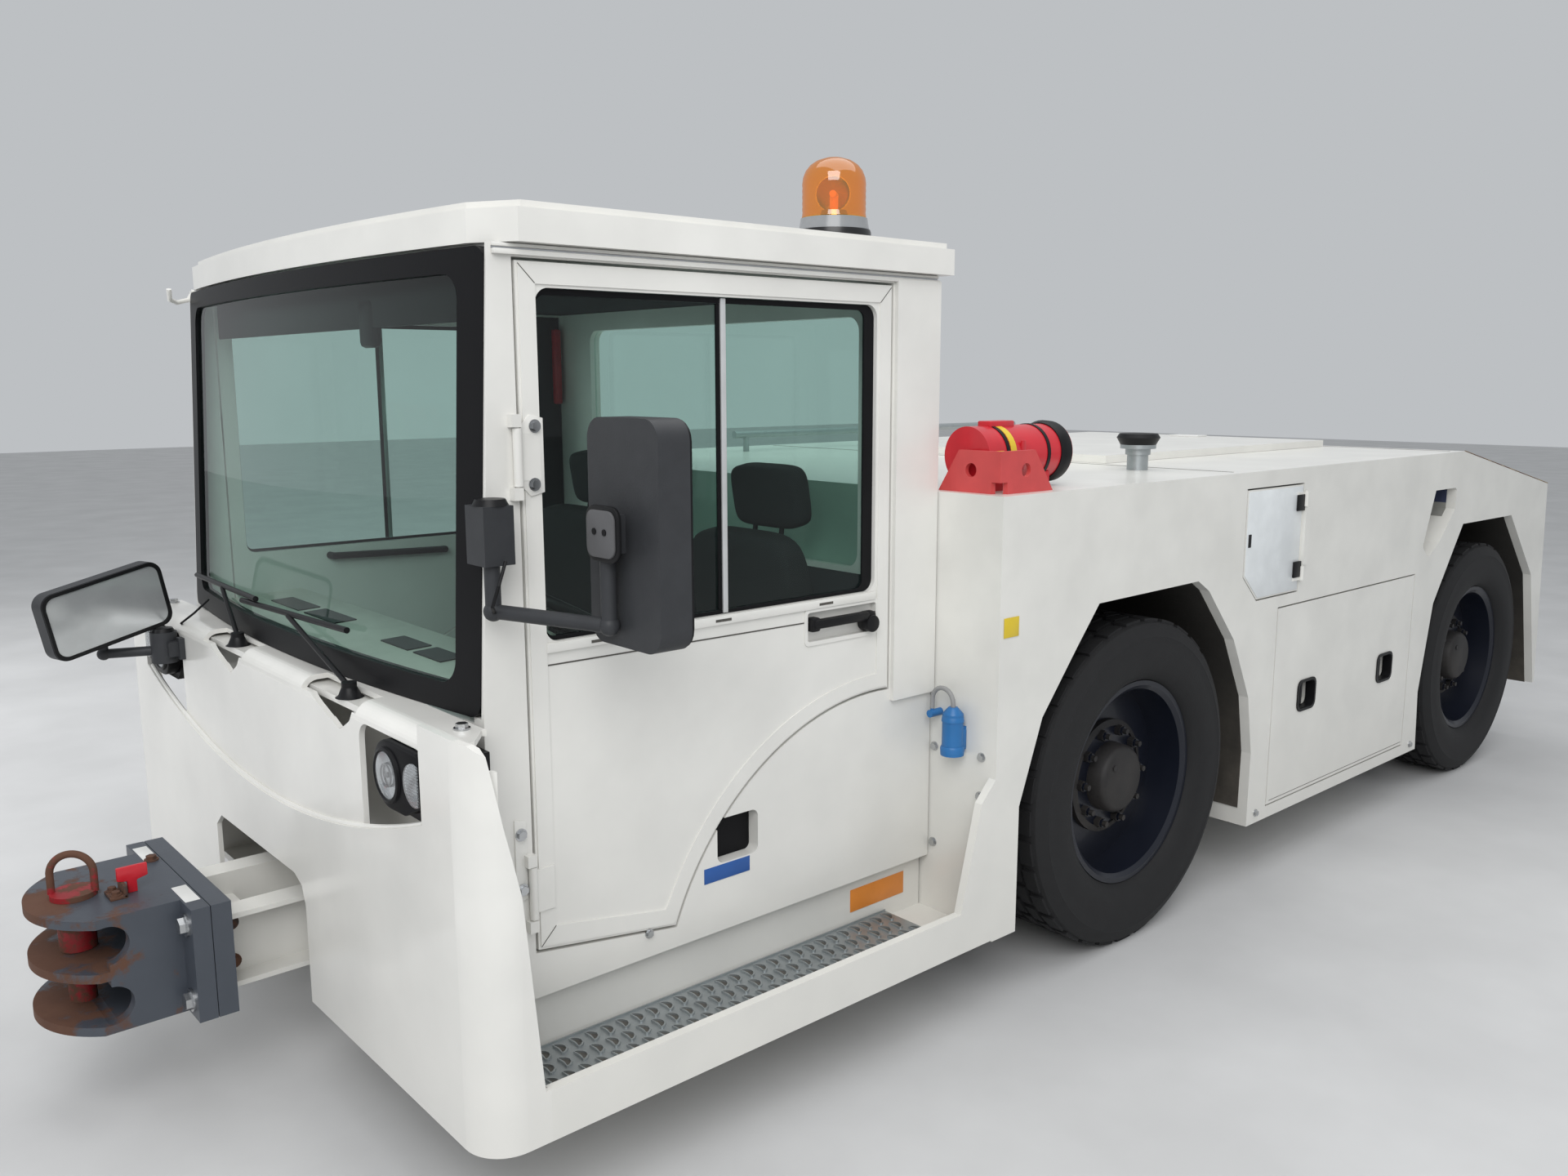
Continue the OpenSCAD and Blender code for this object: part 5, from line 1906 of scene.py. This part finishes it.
@dataclass
class Plug:
    """Details of the charging plug. Sizes are millimetres.

    Args:
        x: X of the plug's axis.
        y: Y of its axis.
        foot: height of its lower end.
        bend: height and radius of the lead's bend.
    """

    x: float = 702.0
    y: float = 980.0
    foot: float = 688.0
    bend: tuple[float, float] = (820.0, 35.0)

    def build(self) -> None:
        """Makes the plug's caps and the lead's sleeve."""
        start, end = place(self.x, self.y, self.foot), place(self.x, self.y, self.foot + 100)
        shape = Shape()
        shape.lathe([(0.0, 0.0), (0.03, 0.0), (0.031, 0.018), (0.028, 0.024), (0.0, 0.024)],
                    start, end, steps=28)
        shape.lathe([(0.0, 0.088), (0.029, 0.088), (0.026, 0.108), (0.012, 0.124), (0.0, 0.124)],
                    start, end, steps=28)
        shape.block((671, 704), (958, 1002), (702, 756), 5)
        put(shape, "plug_caps", Palette.BLUE, "blue_plastic")
        shape = Shape()
        height, radius = self.bend
        bend = arc(self.y - radius, height, radius, range(0, 181, 15))
        ends = ((self.y, height - 20), (self.y - 2 * radius, height - 24))
        shape.pipe([place(self.x, y, z) for y, z in (ends[0], *bend, ends[1])], 0.0062, 12)
        put(shape, "lead_sleeve", Palette.LEAD, "blue_plastic")


@dataclass
class Studio:
    """Floor, lights and camera.

    Args:
        focal: focal length in pixels of the photo.
        frame: the photo's width in pixels.
        spot: the camera's place, in millimetres of the CAD tables.
        aim: its yaw, pitch and roll, degrees.
        lamps: per lamp its name, place, size in metres and power.
    """

    focal: float = 1530.0
    frame: float = 1920.0
    spot: tuple[float, float, float] = (3047.0, 2997.0, 1631.0)
    aim: tuple[float, float, float] = (-131.37, -9.51, -0.1)
    lamps: tuple = (("key", (5.5, 5.0, 5.5), 5.0, 330), ("top", (0, 0.5, 6.5), 7.0, 190),
                    ("fill", (5.0, -5.0, 3.0), 4.0, 130))

    def build(self) -> None:
        """Makes them."""
        self._camera()
        self._floor()
        self._lights()

    def _camera(self) -> None:
        """Stands the camera where the photo was taken."""
        data = bpy.data.cameras.new("camera")
        data.sensor_width = 36.0
        data.lens = self.focal / self.frame * data.sensor_width
        data.clip_start, data.clip_end = 0.05, 200
        camera = bpy.data.objects.new("camera", data)
        bpy.context.scene.collection.objects.link(camera)
        yaw, pitch, roll = (math.radians(v) for v in self.aim)
        look = Vector((math.cos(yaw) * math.cos(pitch), math.sin(yaw) * math.cos(pitch),
                       math.sin(pitch)))
        turn = look.to_track_quat("-Z", "Y").to_matrix().to_4x4()
        spin = Matrix.Rotation(roll, 4, "Z")
        camera.matrix_world = Matrix.Translation(place(*self.spot)) @ turn @ spin
        bpy.context.scene.camera = camera

    @staticmethod
    def _floor() -> None:
        """Lays a pale floor."""
        shape = Shape()
        shape.box(Vector((-30, -30, -0.05)), Vector((30, 30, 0.0)))
        mesh = bpy.data.meshes.new("floor")
        shape.bm.to_mesh(mesh)
        shape.bm.free()
        floor = bpy.data.objects.new("floor", mesh)
        bpy.context.scene.collection.objects.link(floor)
        mesh.materials.append(Palette.get(Finish("studio_floor", (0.62, 0.62, 0.62), 0.7, scale=2)))

    def _lights(self) -> None:
        """Hangs soft lights and sets a light grey world."""
        world = bpy.data.worlds.new("studio")
        bpy.context.scene.world = world
        world.use_nodes = True
        sky = world.node_tree.nodes["Background"]
        sky.inputs["Color"].default_value = (0.82, 0.85, 0.88, 1)
        sky.inputs["Strength"].default_value = 0.62
        for name, spot, size, power in self.lamps:
            data = bpy.data.lights.new(name, "AREA")
            data.shape, data.size, data.energy = "SQUARE", size, power
            lamp = bpy.data.objects.new(name, data)
            bpy.context.scene.collection.objects.link(lamp)
            # glass and paint mirror every lamp but the fill
            lamp.visible_glossy = name != "fill"
            turn = (Vector((0, 0, 0.8)) - Vector(spot)).to_track_quat("-Z", "Y")
            lamp.matrix_world = Matrix.Translation(spot) @ turn.to_matrix().to_4x4()
        bpy.context.scene.view_settings.view_transform = "Standard"


@dataclass
class CadCoat:
    """Finishes of the CAD nodes that stay in view.

    Args:
        table: the nodes that take each finish.
    """

    table: dict[Finish | Clear, tuple[str, ...]] = field(default_factory=lambda: {
        Palette.CREAM: ("chassis", "body_sides", "step_floor", "coupling_frame", "engine_lid",
                        "fuel_hatch", "service_panel_left", "service_panel_right"),
        Palette.SHEET: ("front_apron", "nose_panel", "cab_frame", "cab_roof", "door_left",
                        "door_right"),
        Palette.ZINC: ("step_gratings", "deck_fittings"),
        Palette.SEAL: ("windscreen_rubber",),
        Palette.GLASS: ("cab_glass", "door_glass_left", "door_glass_right"),
        Palette.PALE: ("dashboard",),
        Palette.BLACK: ("steering_wheel", "wipers", "headlamps"),
        Palette.PLASTIC: ("mirrors",),
        Palette.CLOTH: ("seats",),
        Palette.ENGINE: ("engine_block",),
        Palette.AXLE: ("front_axle", "rear_axle", "knuckle_left", "knuckle_right"),
        Palette.RIM: ("rim_front_left", "rim_front_right", "rim_rear_left", "rim_rear_right"),
        Palette.RUBBER: ("tyre_front_left", "tyre_front_right", "tyre_rear_left", "tyre_rear_right"),
        Palette.JAW: ("front_jaws", "rear_jaws"),
        Palette.RED_WORN: ("front_tow_pin", "rear_tow_pin"),
        Palette.RED: ("extinguisher",),
        Palette.AMBER_FOOT: ("beacon",),
        Palette.RED_OLD: ("lifting_brackets",),
        Palette.BLUE: ("charge_lead",),
    })

    def build(self) -> None:
        """Paints the nodes."""
        for finish, nodes in self.table.items():
            Palette.paint_node(finish, *nodes)


def write_sizes() -> None:
    """Updates the view layer."""
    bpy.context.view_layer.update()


def main() -> None:
    """Builds every class in order."""
    logging.basicConfig(level=logging.INFO, format="%(message)s")
    wheels = (Wheel(end, side) for end in ("front", "rear") for side in Side)
    doors = (Door(side) for side in Side)
    for step in (Studio(), CadCoat(), *wheels, *doors, CabInside(), CabOutside(), Lamps(), Mirrors(),
                 Coupling(), Steps(), Deck(), SidePanels(), Plug()):
        step.build()
        log.info("built %s", step.__class__.__name__)
    write_sizes()


if __name__ == "__main__":
    main()
